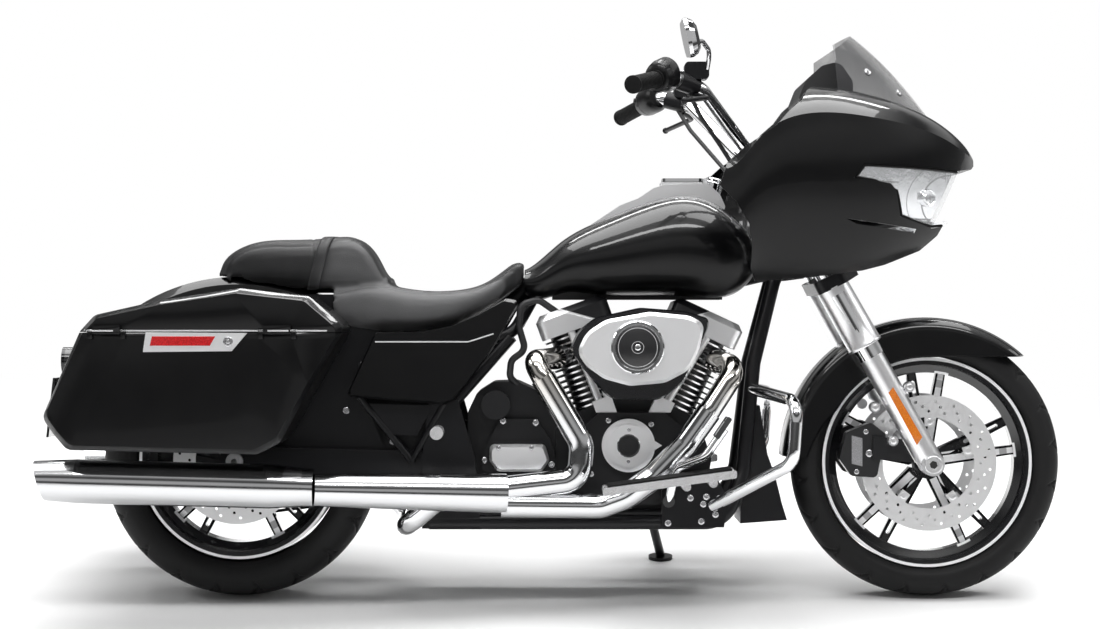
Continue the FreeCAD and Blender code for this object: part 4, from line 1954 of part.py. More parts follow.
def triple_clamps():
    parts = []
    bores = []
    for low, back in ((LOWER_CLAMP_LOW, CLAMP_BACK), (UPPER_CLAMP_LOW, CLAMP_BACK)):
        points = [
            (-back, -CLAMP_HALF), (-back * CLAMP_WAIST_SHARE, -CLAMP_HALF), (
                CLAMP_FRONT, -CLAMP_FRONT * CLAMP_SHOULDER_SHARE
            ),
            (CLAMP_FRONT, CLAMP_FRONT * CLAMP_SHOULDER_SHARE), (-back * CLAMP_WAIST_SHARE, CLAMP_HALF), (
                -back, CLAMP_HALF
            ),
        ]
        ring = rounded_ring(
            [V(STEER_GROUND_X + u, v, low) for u, v in points], CLAMP_FRONT * CLAMP_CORNER_SHARE
        )
        parts.append(steered(Part.Face(ring).extrude(V(0, 0, CLAMP_THICK))))
    parts.append(
        rod(
            steer_axis_point(LOWER_CLAMP_LOW), steer_axis_point(UPPER_CLAMP_LOW + CLAMP_THICK + OVERRUN),
            STEM_RADIUS,
        )
    )
    whole = joined(parts)
    for side in (-LEG_SIDE, LEG_SIDE):
        whole = whole.cut(
            rod(
                leg_point(COVER_LOW, side), leg_point(LEG_TOP + OVERRUN * 4, side),
                LEG_TUBE_RADIUS + SEAT_GAP,
            )
        )
    return whole


def fork_tube(side):
    parts = [rod(leg_point(COVER_LOW, side), leg_point(LEG_TOP, side), LEG_TUBE_RADIUS)]
    parts.append(rod(leg_point(COVER_LOW, side), leg_point(COVER_HIGH, side), COVER_RADIUS))
    hook = leg_point(FENDER_HOOK_Z, side)
    low, high = sorted((side, math.copysign(FRONT_FENDER_HALF + SEAT_GAP, side)))
    parts.append(cross_rod(hook.x, hook.z, low, high, FENDER_HOOK_RADIUS))
    return joined(parts)


def fork_slider(side):
    low, high = sorted((math.copysign(LUG_IN, side), math.copysign(LUG_OUT, side)))
    parts = [
        rod(leg_point(FRONT_TYRE_RADIUS, side), leg_point(COVER_LOW - SEAT_GAP, side), SLIDER_RADIUS)
    ]
    parts.append(cross_rod(WHEELBASE, FRONT_TYRE_RADIUS, low, high, LUG_RADIUS))
    low, high = sorted(
        (math.copysign(CALIPER_OUT + SEAT_GAP, side), math.copysign(CALIPER_OUT + CALIPER_PLATE, side))
    )
    parts.append(prism(outline(CALIPER_PLATE_VIEW_SHARES, CALIPER_PLATE_VIEW_BOX), low, high))
    whole = joined(parts)
    return whole.cut(
        cross_rod(
            WHEELBASE, FRONT_TYRE_RADIUS, -AXLE_HALF - OVERRUN, AXLE_HALF + OVERRUN,
            AXLE_RADIUS + SEAT_GAP,
        )
    )


def front_axle():
    parts = [cross_rod(WHEELBASE, FRONT_TYRE_RADIUS, -AXLE_HALF, AXLE_HALF, AXLE_RADIUS)]
    for side in (-1, 1):
        low, high = sorted(
            (side * (FRONT_HUB_HALF + MOVING_GAP), side * (LEG_SIDE - SLIDER_RADIUS - SEAT_GAP))
        )
        parts.append(cross_rod(WHEELBASE, FRONT_TYRE_RADIUS, low, high, SPACER_RADIUS))
    whole = joined(parts)
    return whole.cut(
        cross_rod(WHEELBASE, FRONT_TYRE_RADIUS, -AXLE_HALF - OVERRUN, AXLE_HALF + OVERRUN, AXLE_BORE)
    )


def front_fender():
    r, w, s, i = FRONT_FENDER_RADIUS, FRONT_FENDER_WALL, FRONT_FENDER_LOW_RADIUS, FRONT_FENDER_HALF
    bend = w * 4
    inner = [(s, i - w), (r - w - bend, i - w), (r - w, i - w - bend)]
    inner = inner + [(a, -b) for a, b in reversed(inner)]
    outer = [(s, i), (r - bend, i), (r, i - bend)]
    outer = outer + [(a, -b) for a, b in reversed(outer)]
    shape = spun(outer + inner[::-1], WHEELBASE, FRONT_TYRE_RADIUS)
    view = prism(
        outline(FRONT_FENDER_SIDE_VIEW_SHARES, FRONT_FENDER_SIDE_VIEW_BOX), -i - OVERRUN, i + OVERRUN
    )
    return largest(shape.common(view))


def caliper():
    body = rounded_prism(outline(CALIPER_SHARES, CALIPER_BOX), -CALIPER_OUT, -CALIPER_IN, OVERRUN)
    half = DISC_THICK / 2 + MOVING_GAP
    slot = cross_rod(
        WHEELBASE, FRONT_TYRE_RADIUS, -FRONT_DISC_SIDE - half, -FRONT_DISC_SIDE + half,
        DISC_RADIUS + MOVING_GAP,
    )
    return largest(body.cut(slot))


def rear_caliper():
    body = rounded_prism(
        outline(REAR_CALIPER_SHARES, REAR_CALIPER_BOX), -ARM_IN + SEAT_GAP, -REAR_CALIPER_IN, OVERRUN / 2
    )
    half = DISC_THICK / 2 + MOVING_GAP
    slot = cross_rod(
        0, REAR_TYRE_RADIUS, -REAR_DISC_SIDE - half, -REAR_DISC_SIDE + half, REAR_DISC_RADIUS + MOVING_GAP
    )
    plate = prism(outline(REAR_HANGER_SHARES, REAR_HANGER_BOX), -ARM_IN + SEAT_GAP, -ARM_IN + OVERRUN)
    return joined([largest(body.cut(slot)), plate])


def bar_points():
    side = places(BAR_SHARES, *BAR_BOX)
    return side + [V(p.x, -p.y, p.z) for p in reversed(side)]


def handlebar():
    points = bar_points()
    parts = [tube(points, BAR_RADIUS, BAR_BEND)]
    for side in (-1, 1):
        foot = V(points[-1].x, 0, 0)
        top = V(places(BAR_SHARES, *BAR_BOX)[-1])
        y = side * RISER_SIDE
        rake = math.radians(RAKE)
        low = (UPPER_CLAMP_LOW + CLAMP_THICK) / math.cos(rake) + (top.x - STEER_GROUND_X) * math.tan(rake)
        parts.append(rod(V(top.x, y, low - RISER_RADIUS), V(top.x, y, top.z), RISER_RADIUS))
    whole = joined(parts)
    slab = steered(
        box(
            STEER_GROUND_X - CLAMP_HALF * 2, STEER_GROUND_X + CLAMP_HALF, -CLAMP_HALF, CLAMP_HALF,
            UPPER_CLAMP_LOW, UPPER_CLAMP_LOW + CLAMP_THICK + SEAT_GAP,
        )
    )
    return largest(whole.cut(slab))


def between(a, b, share):
    return a.add(b.sub(a).multiply(share))


def grips():
    side = places(BAR_SHARES, *BAR_BOX)
    start = between(side[0], side[1], 0)
    end = between(side[0], side[1], GRIP_SHARE)
    grip = pipe(start, end, GRIP_RADIUS, BAR_RADIUS + SEAT_GAP)
    return pair(grip)


def reservoir(perch):
    long, wide, low = RESERVOIR_LONG / 2, RESERVOIR_WIDE / 2, perch.z + RESERVOIR_RISE
    flat = [
        (perch.x - long, low), (perch.x + long, low),
        (perch.x + long, low + RESERVOIR_TALL), (perch.x - long, low + RESERVOIR_TALL),
    ]
    return rounded_prism(flat, perch.y - wide, perch.y + wide, RESERVOIR_TALL / 4)


def controls():
    side = places(BAR_SHARES, *BAR_BOX)
    housing = rod(
        between(side[0], side[1], SWITCH_SHARES[0]), between(side[0], side[1], SWITCH_SHARES[1]),
        SWITCH_RADIUS,
    )
    near, far = between(side[1], side[2], PERCH_SHARES[0]), between(side[1], side[2], PERCH_SHARES[1])
    perch = rod(near, far, PERCH_RADIUS)
    blade = places(LEVER_SHARES, *LEVER_BOX)
    lever = tube(blade, LEVER_RADIUS, GUARD_BEND / 2)
    ball = Part.makeSphere(LEVER_BALL, blade[-1])
    bar = tube(bar_points(), BAR_RADIUS + SEAT_GAP, BAR_BEND)
    whole = joined([housing, perch, lever, ball, reservoir(far)])
    return pair(trimmed(whole, bar))


def bar_cable(others):
    return pair(trimmed(tube(places(BAR_CABLE_SHARES, *BAR_CABLE_BOX), CABLE_RADIUS, CABLE_BEND), others))


def mirrors(others):
    points = places(MIRROR_SHARES, *MIRROR_BOX)
    stem = tube(points, MIRROR_STEM_RADIUS, MIRROR_WIDE / 4)
    end = points[-1]
    y, z = end.y + MIRROR_WIDE * MIRROR_STEM_SHARE, end.z
    rings = []
    for depth_share, size_share in MIRROR_DEPTH_SHARES:
        x = end.x + MIRROR_DEEP * (depth_share - 0.5)
        wide, tall = MIRROR_WIDE * size_share / 2, MIRROR_TALL * size_share / 2
        corners = [
            V(x, y - wide, z - tall * MIRROR_HEEL_SHARE), V(x, y + wide, z - tall),
            V(x, y + wide, z + tall), V(x, y - wide, z + tall),
        ]
        rings.append(rounded_ring(corners, tall * MIRROR_CORNER_SHARE))
    head = Part.makeLoft(rings, True, True)
    head.rotate(end, V(0, 1, 0), -MIRROR_TILT)
    return trimmed(joined([stem, head]), others)


def leaned(shape):
    whole = shape.copy()
    whole.rotate(V(0, 0, 0), V(1, 0, 0), -LEAN)
    return whole


def home(nodes):
    boxes = [shape.optimalBoundingBox(False, False) for shape in nodes.values()]
    x = (min(b.XMin for b in boxes) + max(b.XMax for b in boxes)) / 2
    y = (min(b.YMin for b in boxes) + max(b.YMax for b in boxes)) / 2
    return V(-x, -y, -min(b.ZMin for b in boxes))


def placed_nodes():
    nodes = {name: leaned(shape) for name, shape in make_nodes().items()}
    shift = home(nodes)
    for shape in nodes.values():
        shape.translate(shift)
    return nodes, shift


def make_nodes():
    headers = (
        places(REAR_HEADER_SHARES, *REAR_HEADER_BOX)[0], places(
            FRONT_HEADER_SHARES, *FRONT_HEADER_BOX
        )[0],
    )
    nodes = {}
    chassis = frame()
    case = engine_case()
    nodes["frame"] = chassis
    nodes["engine_case"] = Part.makeCompound([case, cam_chest(), gearbox().cut(case)])
    barrels = cylinder_barrels(headers).cut(case)
    nodes["cylinder_barrels"] = largest(barrels)
    nodes["rocker_covers"] = rocker_covers()
    nodes["pushrod_tubes"] = pushrod_tubes([cam_chest(), nodes["rocker_covers"], case])
    nodes["engine_covers"] = Part.makeCompound([cam_cover(), gearbox_cover()])
    nodes["air_cleaner"] = air_cleaner()
    nodes["air_cleaner_cover"] = air_cleaner_cover()
    nodes["primary_cover"] = primary_cover()
    nodes["drive_belt"] = Part.makeCompound([drive_pulley(), belt()])
    arm = swingarm()
    nodes["swingarm"] = Part.makeCompound([arm, rear_caliper()])
    nodes["engine_hoses"] = breather_hose([case, nodes["engine_case"], nodes["rocker_covers"]])
    nodes["rear_axle"] = rear_axle()
    nodes["rear_shock"] = rear_shock([arm, chassis])
    silencer = muffler()
    nodes["muffler_right"] = silencer
    nodes["muffler_left"] = mirrored(silencer)
    silencers = [silencer, mirrored(silencer)]
    pipes = exhaust_headers([nodes["cylinder_barrels"]] + silencers)
    nodes["exhaust_headers"] = pipes
    nodes["crossover_pipe"] = crossover_pipe([pipes] + silencers)
    tank = fuel_tank().cut(chassis)
    nodes["fuel_tank"] = tank
    nodes["tank_console"] = tank_console(tank)
    nodes["fuel_door"] = fuel_door()
    fender = largest(rear_fender().cut(chassis))
    nodes["rear_fender"] = Part.makeCompound([fender, bag_brackets([])])
    nodes["seat"] = seat([chassis, fender_solid(FENDER_RADIUS + SEAT_GAP, FENDER_HALF + SEAT_GAP), tank])
    nodes["side_covers"] = pair(side_cover())
    nodes["battery_box"] = pair(trimmed(battery_box(), chassis))
    bag = saddlebag()
    nodes["saddlebag_left"] = bag
    nodes["saddlebag_right"] = mirrored(bag)
    top = bag_lid()
    nodes["lid_left"] = top
    nodes["lid_right"] = mirrored(top)
    nodes["reflector_plates"] = pair(reflector())
    nodes["tail_lamps"] = tail_lamps()
    shell = fairing_outer()
    nodes["fairing_outer"] = shell
    nodes["headlamps"] = headlamps()
    dash = inner_fairing()
    nodes["inner_fairing"] = dash
    nodes["windscreen"] = windscreen()
    nodes["fairing_bracket"] = fairing_bracket([shell, dash, nodes["headlamps"]])
    nodes["oil_cooler"] = oil_cooler([chassis])
    nodes["engine_guard"] = engine_guard([chassis])
    nodes["footboards"] = Part.makeCompound([pair(mirrored(footboard([]))), passenger_pegs()])
    nodes["pedals"] = pair(pedal())
    nodes["side_stand"] = side_stand()
    nodes["frame"] = Part.makeCompound([chassis, stand_bracket([chassis])])
    nodes["triple_clamps"] = triple_clamps()
    nodes["fork_tubes"] = pair(fork_tube(LEG_SIDE))
    nodes["fork_sliders"] = pair(fork_slider(LEG_SIDE))
    nodes["front_axle"] = front_axle()
    nodes["front_fender"] = front_fender()
    nodes["calipers"] = pair(caliper())
    nodes["handlebar"] = handlebar()
    nodes["grips"] = grips()
    nodes["controls"] = controls()
    bar = nodes["handlebar"]
    nodes["mirrors"] = pair(mirrors([bar, nodes["controls"]]))
    nodes["cables"] = bar_cable([bar, nodes["controls"], nodes["triple_clamps"]])
    nodes["front_tyre"] = tyre(FRONT_TYRE_RADIUS, FRONT_TYRE_HALF_WIDE, FRONT_BEAD_RADIUS, WHEELBASE)
    boss = FRONT_DISC_SIDE - DISC_THICK / 2 - SEAT_GAP
    nodes["front_rim"] = wheel(
        FRONT_TYRE_HALF_WIDE, FRONT_BEAD_RADIUS, WHEELBASE, FRONT_TYRE_RADIUS, FRONT_HUB_HALF, -boss, boss,
    )
    discs = [
        disc(
            WHEELBASE, FRONT_TYRE_RADIUS, side * FRONT_DISC_SIDE, DISC_RADIUS, DISC_INNER
        ) for side in (-1, 1)
    ]
    nodes["front_discs"] = Part.makeCompound(discs)
    nodes["rear_tyre"] = tyre(REAR_TYRE_RADIUS, REAR_TYRE_HALF_WIDE, REAR_BEAD_RADIUS, 0)
    far = REAR_DISC_SIDE - DISC_THICK / 2 - SEAT_GAP
    near = BELT_INNER_SIDE - SEAT_GAP
    nodes["rear_rim"] = wheel(
        REAR_TYRE_HALF_WIDE, REAR_BEAD_RADIUS, 0, REAR_TYRE_RADIUS, REAR_HUB_HALF, -far, near,
    )
    nodes["rear_disc"] = disc(0, REAR_TYRE_RADIUS, -REAR_DISC_SIDE, REAR_DISC_RADIUS, REAR_DISC_INNER)
    nodes["rear_pulley"] = rear_pulley()
    return nodes


def rear_pulley():
    near, far = BELT_INNER_SIDE, BELT_INNER_SIDE + BELT_WIDE
    ring = cross_rod(0, REAR_TYRE_RADIUS, near, far, PULLEY_RADIUS).cut(
        cross_rod(0, REAR_TYRE_RADIUS, near - OVERRUN, far + OVERRUN, PULLEY_INNER)
    )
    parts = [ring]
    web = cross_rod(0, REAR_TYRE_RADIUS, near, near + DISC_THICK * 2, PULLEY_INNER + DISC_THICK)
    parts.append(
        web.cut(cross_rod(0, REAR_TYRE_RADIUS, near - OVERRUN, far, REAR_SPACER_RADIUS + MOVING_GAP))
    )
    return joined(parts)


def main():
    os.makedirs("parts", exist_ok=True)
    nodes, shift = placed_nodes()
    for name, shape in nodes.items():
        shape.exportStep("parts/" + name + ".step")


if __name__ == "__main__":
    main()
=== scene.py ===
import math

import bmesh
import bpy
from mathutils import Matrix, Vector
from mathutils.bvhtree import BVHTree


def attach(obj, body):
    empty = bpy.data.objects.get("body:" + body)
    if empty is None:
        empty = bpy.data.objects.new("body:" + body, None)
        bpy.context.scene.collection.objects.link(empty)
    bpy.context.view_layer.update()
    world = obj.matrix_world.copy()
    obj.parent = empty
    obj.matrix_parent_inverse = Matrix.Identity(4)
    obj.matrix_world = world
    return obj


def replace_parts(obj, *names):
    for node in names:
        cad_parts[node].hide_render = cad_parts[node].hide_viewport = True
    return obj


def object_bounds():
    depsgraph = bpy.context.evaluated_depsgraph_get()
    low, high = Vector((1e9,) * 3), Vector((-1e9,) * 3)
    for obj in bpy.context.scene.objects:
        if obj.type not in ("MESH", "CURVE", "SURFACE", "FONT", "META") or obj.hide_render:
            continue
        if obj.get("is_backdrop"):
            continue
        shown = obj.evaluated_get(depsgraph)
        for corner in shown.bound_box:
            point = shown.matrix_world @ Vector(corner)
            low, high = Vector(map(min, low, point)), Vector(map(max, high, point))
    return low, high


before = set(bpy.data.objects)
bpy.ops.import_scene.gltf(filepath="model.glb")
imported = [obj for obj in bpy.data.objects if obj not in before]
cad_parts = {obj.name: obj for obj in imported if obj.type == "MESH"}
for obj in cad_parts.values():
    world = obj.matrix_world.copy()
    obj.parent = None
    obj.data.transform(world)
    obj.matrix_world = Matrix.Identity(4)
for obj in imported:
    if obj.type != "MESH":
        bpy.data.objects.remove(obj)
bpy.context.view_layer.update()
scene = bpy.context.scene
scene.view_settings.view_transform = "Standard"

# The machine leans 9 degrees onto its side stand. Every size below is in millimetres on the
# upright machine: forward from the rear axle, out to its left, and up from the ground.
# The lens stands square to its right side, level with the tank's lower edge.
LEAN = math.radians(9)
SHIFT = Vector((-0.74615, -0.16774, 0.001671))
LEANING = Matrix.Translation(SHIFT) @ Matrix.Rotation(-LEAN, 4, "X")
PARKED = LEANING @ Matrix.Scale(0.001, 4)
LENS_PLACE = (0.733, -5.8, 0.669)


def placed(name, data):
    made = bpy.data.objects.new(name, data)
    scene.collection.objects.link(made)
    return made


lens = bpy.data.cameras.new("side_view")
lens.lens = 79.5
lens.clip_end = 100
side_view = placed("side_view", lens)
side_view.matrix_world = (
    LEANING @ Matrix.Translation(LENS_PLACE) @ Matrix.Rotation(math.radians(90), 4, "X")
)
scene.camera = side_view


# A finish is one Principled shader. A Wire is one socket of it on which plain sums work,
# and place_mm gives each point's upright place in millimetres, so that wear, ribs and
# machined faces sit where the real ones do and stay there when the piece turns.
class Wire:
    def __init__(self, tree, socket):
        self.tree = tree
        self.socket = socket

    def node(self, kind, settings=None, give=0, **fed):
        made = self.tree.nodes.new("ShaderNode" + kind)
        for name, value in (settings or {}).items():
            setattr(made, name, value)
        for name, value in fed.items():
            place = int(name[1:]) if name[1:].isdigit() else name.replace("_", " ")
            if isinstance(value, Wire):
                self.tree.links.new(value.socket, made.inputs[place])
            else:
                made.inputs[place].default_value = value
        return Wire(self.tree, made.outputs[give])

    def math(self, how, *others):
        fed = {f"s{i}": value for i, value in enumerate((self, *others))}
        return self.node("Math", {"operation": how}, **fed)

    def __add__(self, other):
        return self.math("ADD", other)

    def __sub__(self, other):
        return self.math("SUBTRACT", other)

    def __rsub__(self, other):
        return self.node("Math", {"operation": "SUBTRACT"}, s0=other, s1=self)

    def __mul__(self, other):
        return self.math("MULTIPLY", other)

    def __abs__(self):
        return self.math("ABSOLUTE")

    __radd__ = __add__
    __rmul__ = __mul__

    def above(self, edge, soft):
        return self.node("MapRange", {"interpolation_type": "SMOOTHSTEP"}, s0=self,
                         s1=edge - soft, s2=edge + soft)

    def within(self, low, high, soft):
        return self.above(low, soft) * (1 - self.above(high, soft))

    def tone(self, dark, light):
        return self.node("Mix", {"data_type": "RGBA"}, 2, s0=self, s6=(*dark, 1), s7=(*light, 1))

    def grain(self, size, detail=2.0):
        return self.node("TexNoise", s0=self, Scale=1 / size, Detail=detail)

    def pebble(self, size):
        return self.node("TexVoronoi", s0=self, Scale=1 / size)

    def to(self, shader, name):
        self.tree.links.new(self.socket, shader.inputs[name])

    def raise_up(self, shader):
        self.node("Bump", Height=self, Distance=0.001).to(shader, "Normal")


# tooth is a fine relief: its size, its depth and its detail. haze is a slow change of the
# gloss: its size, how much it swings, and the roughness that it swings up from.
def finish(name, tone, tooth=None, haze=None, **fixed):
    made = bpy.data.materials.new(name)
    made.use_nodes = True
    shader = made.node_tree.nodes["Principled BSDF"]
    shader.inputs["Base Color"].default_value = (*tone, 1)
    for socket, value in fixed.items():
        shader.inputs[socket.replace("_", " ")].default_value = value
    upright = Matrix.Rotation(LEAN, 3, "X") @ (SHIFT * -1000)
    spot = Wire(made.node_tree, None).node("TexCoord", give=3)
    place_mm = spot.node("Mapping", Vector=spot, Location=upright, Rotation=(LEAN, 0, 0),
                         Scale=(1000, 1000, 1000))
    if tooth:
        size, deep, *detail = tooth
        (place_mm.grain(size, *detail) * deep).raise_up(shader)
    if haze:
        size, swing, base = haze
        (place_mm.grain(size) * swing + base).to(shader, "Roughness")
    return made, shader, place_mm


def axes(place_mm):
    return [place_mm.node("SeparateXYZ", give=i, s0=place_mm) for i in range(3)]


def facing(place_mm):
    normal = place_mm.node("NewGeometry", give=1)
    turned = place_mm.node("VectorRotate", {"rotation_type": "X_AXIS"}, s0=normal, Angle=LEAN)
    return axes(turned)


# The floor is a pale studio floor that fades to the white behind it. Dark cloth hangs
# between two pale bands of the room, so that chrome and black paint have something to show.
FLOOR_HALF = 30
corners = [(x * FLOOR_HALF, y * FLOOR_HALF, 0) for x, y in ((-1, -1), (1, -1), (1, 1), (-1, 1))]
floor_mesh = bpy.data.meshes.new("floor")
floor_mesh.from_pydata(corners, [], [(0, 1, 2, 3)])
floor = placed("floor", floor_mesh)
floor_paint, floor_shader, floor_mm = finish("floor_paint", (0.86, 0.86, 0.86), Roughness=0.9,
                                             Specular_IOR_Level=0.0)
oval = floor_mm.node("VectorMath", {"operation": "MULTIPLY"}, s0=floor_mm, s1=(1.0, 1.6, 0.0))
reach = oval.node("VectorMath", {"operation": "LENGTH"}, 1, s0=oval)
white = floor_mm.node("Emission", s0=(1, 1, 1, 1), s1=1.0)
fade = reach.above(3200, 1500) * floor_mm.node("LightPath", give=0)
mixed = floor_mm.node("MixShader", s0=fade, s2=white)
floor_tree = floor_paint.node_tree
floor_tree.links.new(floor_shader.outputs[0], mixed.socket.node.inputs[1])
floor_tree.links.new(mixed.socket, floor_tree.nodes["Material Output"].inputs[0])
floor_mesh.materials.append(floor_paint)
floor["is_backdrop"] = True

studio = bpy.data.worlds.new("studio")
scene.world = studio
studio.use_nodes = True
backdrop = studio.node_tree.nodes["Background"]
sky = Wire(studio.node_tree, None).node("TexCoord", give=0)
high = axes(sky)[2]
camera_ray, glass_ray = [sky.node("LightPath", give=i) for i in (0, 6)]
seen = (camera_ray + glass_ray).math("MINIMUM", 1.0)
room = high.within(0.17, 0.44, 0.07) * 0.4 + high.above(0.7, 0.16) * 0.7 + 0.06
glow = seen + (1 - seen) * room
glow.tone((0, 0, 0), (1, 1, 1)).to(backdrop, "Color")


# Five softboxes in metres and watts: a broad one overhead, a long strip on each side, and a
# low one ahead and one behind.
def softbox(name, place, aim, wide, tall, power):
    lamp = bpy.data.lights.new(name, "AREA")
    lamp.shape = "RECTANGLE"
    lamp.size = wide
    lamp.size_y = tall
    lamp.energy = power
    made = placed(name, lamp)
    made.location = place
    made.rotation_euler = (Vector(aim) - Vector(place)).to_track_quat("-Z", "Y").to_euler()


softbox("overhead", (0, 0.1, 4.2), (0, 0.1, 0), 5.5, 3.0, 230)
softbox("camera_side_strip", (0.2, -3.0, 4.0), (0.1, 0, 0.6), 5.0, 0.5, 85)
softbox("far_side_strip", (0.2, 3.0, 4.0), (0.1, 0, 0.6), 5.0, 0.5, 85)
softbox("front_strip", (4.6, -0.6, 3.4), (0.6, 0, 0.7), 2.4, 1.2, 30)
softbox("rear_strip", (-4.6, -0.6, 3.4), (-0.6, 0, 0.7), 2.4, 1.2, 30)


# The painted body: steel tank and fenders and moulded fairing, all sprayed deep black under
# a thick clear coat that is smooth but for a faint orange peel.
def wear(made, *nodes):
    for node in nodes:
        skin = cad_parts[node].data.materials
        skin.clear()
        skin.append(made)


DEEP_BLACK = (0.0015, 0.0015, 0.0018)
CLEAR_COAT = {"Roughness": 0.3, "Coat_Weight": 1.0, "Coat_Roughness": 0.05, "IOR": 1.3}
body_black, shader, place_mm = finish("body_black", DEEP_BLACK, (14.0, 0.035, 1.0),
                                      (60.0, 0.12, 0.26), **CLEAR_COAT)
nz = facing(place_mm)[2]
(nz.above(-0.12, 0.3) * 0.4 + nz.above(0.25, 0.3) * 0.45 + 0.1).to(shader, "Coat Weight")
wear(body_black, "fuel_tank", "fairing_outer", "side_covers")

# The two hard bags and their lids are moulded and painted with the rest. Their flat faces
# take less of the clear coat's shine than the folds and edges between them.
bag_black, shader, place_mm = finish("bag_black", DEEP_BLACK, (16.0, 0.035, 1.0),
                                     (60.0, 0.12, 0.26), **CLEAR_COAT)
_, ny, nz = facing(place_mm)
side_on = abs(ny).above(0.9, 0.06).math("MAXIMUM", nz.above(0.2, 0.2))
shine = nz.above(-0.12, 0.3) * 0.3 + nz.above(0.25, 0.3) * 0.5 + 0.04
(shine * side_on + 0.01).to(shader, "Coat Weight")

# Chromed steel: guard, bar, mirrors, pedals, cover and pipe. The plate is mirror bright, with
# faint wipe marks and a little haze.
chrome = finish("chrome", (0.83, 0.835, 0.845), (3.0, 0.006), (30.0, 0.05, 0.03), Metallic=1.0,
                Roughness=0.05)[0]
wear(chrome, "engine_guard", "fuel_door", "handlebar", "pedals", "mirrors", "crossover_pipe",
     "primary_cover", "fork_tubes")

# The exhaust is chromed too. Near the cylinder heads the plate has gone straw with heat;
# the mufflers stay clear.
PIPE_CHROME = (0.66, 0.665, 0.675)
hot_chrome, shader, place_mm = finish("hot_chrome", PIPE_CHROME, haze=(24.0, 0.08, 0.07),
                                      Metallic=1.0, Roughness=0.1)
heat = axes(place_mm)[2].above(470, 60)
(heat * 0.45).tone(PIPE_CHROME, (0.6, 0.54, 0.45)).to(shader, "Base Color")
wear(hot_chrome, "exhaust_headers", "muffler_left", "muffler_right")

# Axles and shocks are satin aluminium, with the fine tooth that bead blasting leaves under
# clear lacquer.
satin = finish("satin_alloy", (0.86, 0.86, 0.87), (0.9, 0.03), (8.0, 0.12, 0.28), Metallic=1.0,
               Roughness=0.34)[0]
wear(satin, "front_axle", "rear_axle", "rear_shock")

# Powder-coated steel: frame, swingarm, clamps, fairing bracket and stand, black with the
# fine wrinkle of baked powder.
powder = finish("frame_powder", (0.005, 0.005, 0.006), (1.6, 0.09, 3.0), (12.0, 0.14, 0.28),
                Roughness=0.38, IOR=1.35)[0]
wear(powder, "frame", "swingarm", "triple_clamps", "fairing_bracket", "side_stand", "battery_box",
     "oil_cooler", "rear_pulley", "controls")

# The crankcase is cast aluminium under black wrinkle paint. The air cleaner's case beside
# it is moulded black plastic with a gloss on it.
case_paint = finish("case_paint", (0.007, 0.007, 0.008), (1.1, 0.16, 4.0), (10.0, 0.2, 0.36),
                    Roughness=0.5, IOR=1.38)[0]
wear(case_paint, "engine_case")
case_gloss = finish("cleaner_black", (0.008, 0.008, 0.009), (1.4, 0.02), Roughness=0.22,
                    Coat_Weight=0.6)[0]
wear(case_gloss, "air_cleaner")

# The cockpit panel is moulded in grained black plastic, and the cables and hoses are
# sheathed in it. The drive belt is black rubber, like the moulded pieces further down.
grained, shader, place_mm = finish("grained_plastic", (0.014, 0.014, 0.015),
                                   haze=(9.0, 0.16, 0.42), Roughness=0.5)
(place_mm.pebble(1.6) * 0.12).raise_up(shader)
wear(grained, "inner_fairing", "cables", "engine_hoses")
rubber = finish("rubber", (0.004, 0.004, 0.004), (0.8, 0.05), Roughness=0.62, IOR=1.25)[0]
wear(rubber, "drive_belt")


# The two finned barrels are cast, painted satin black and then cut back to bare metal
# along the outer edge of every fin. Both stand on the crank's middle, at their own tilt.
def span(across, along):
    return (across * across + along * along).math("SQRT")


BARREL_BLACK = (0.014, 0.014, 0.015)
CRANK = (927.0, 280.0)
barrel_paint, shader, place_mm = finish("barrel_paint", BARREL_BLACK, Roughness=0.42)
ahead, out, up = axes(place_mm)
nx, _, nz = facing(place_mm)
edges = 0
for tilt, side in ((-20.0, -1), (25.0, 1)):
    along = (math.sin(math.radians(tilt)), math.cos(math.radians(tilt)))
    off = (ahead - CRANK[0]) * along[1] + (up - CRANK[1]) * -along[0]
    flat = abs(nx * along[0] + nz * along[1])
    edge = (1 - flat.above(0.5, 0.2)) * span(off, out).above(84.0, 1.5)
    own = (ahead - CRANK[0] - (up - CRANK[1]) * 0.04) * side
    edges = edge * own.above(0.0, 4.0) + edges
edges.tone(BARREL_BLACK, (0.75, 0.75, 0.76)).to(shader, "Base Color")
edges.to(shader, "Metallic")
(0.42 - edges * 0.2).to(shader, "Roughness")
wear(barrel_paint, "cylinder_barrels")


# The front and rear tyres are radial road tyres: round rubber carcasses with swept grooves
# cut across the shoulders, a shallow rib at the rim and a matt, lightly dusted flank.
# Each mesh is turned from the section, and its grooves are pressed in row by row.
def dressed(mesh, skin, sharp):
    mesh.materials.clear()
    mesh.materials.append(skin)
    mesh.shade_smooth()
    mesh.set_sharp_from_angle(angle=math.radians(sharp))
    return mesh


def part_of(name, shape, skin, body, sharp=40):
    points, faces = shape
    mesh = bpy.data.meshes.new(name)
    mesh.from_pydata([PARKED @ Vector(p) for p in points], [], faces)
    made = placed(name, dressed(mesh, skin, sharp))
    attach(made, body)
    return made


def smooth_line(points, steps):
    points = [Vector(p) for p in points]
    ends = [points[0] * 2 - points[1]] + points + [points[-1] * 2 - points[-2]]
    line = []
    for a, b, c, d in zip(ends, ends[1:], ends[2:], ends[3:]):
        for i in range(steps):
            t = i / steps
            line.append(0.5 * ((2 * b) + (c - a) * t + (2 * a - 5 * b + 4 * c - d) * t * t
                               + (3 * b - a - 3 * c + d) * t * t * t))
    return line + [points[-1]]


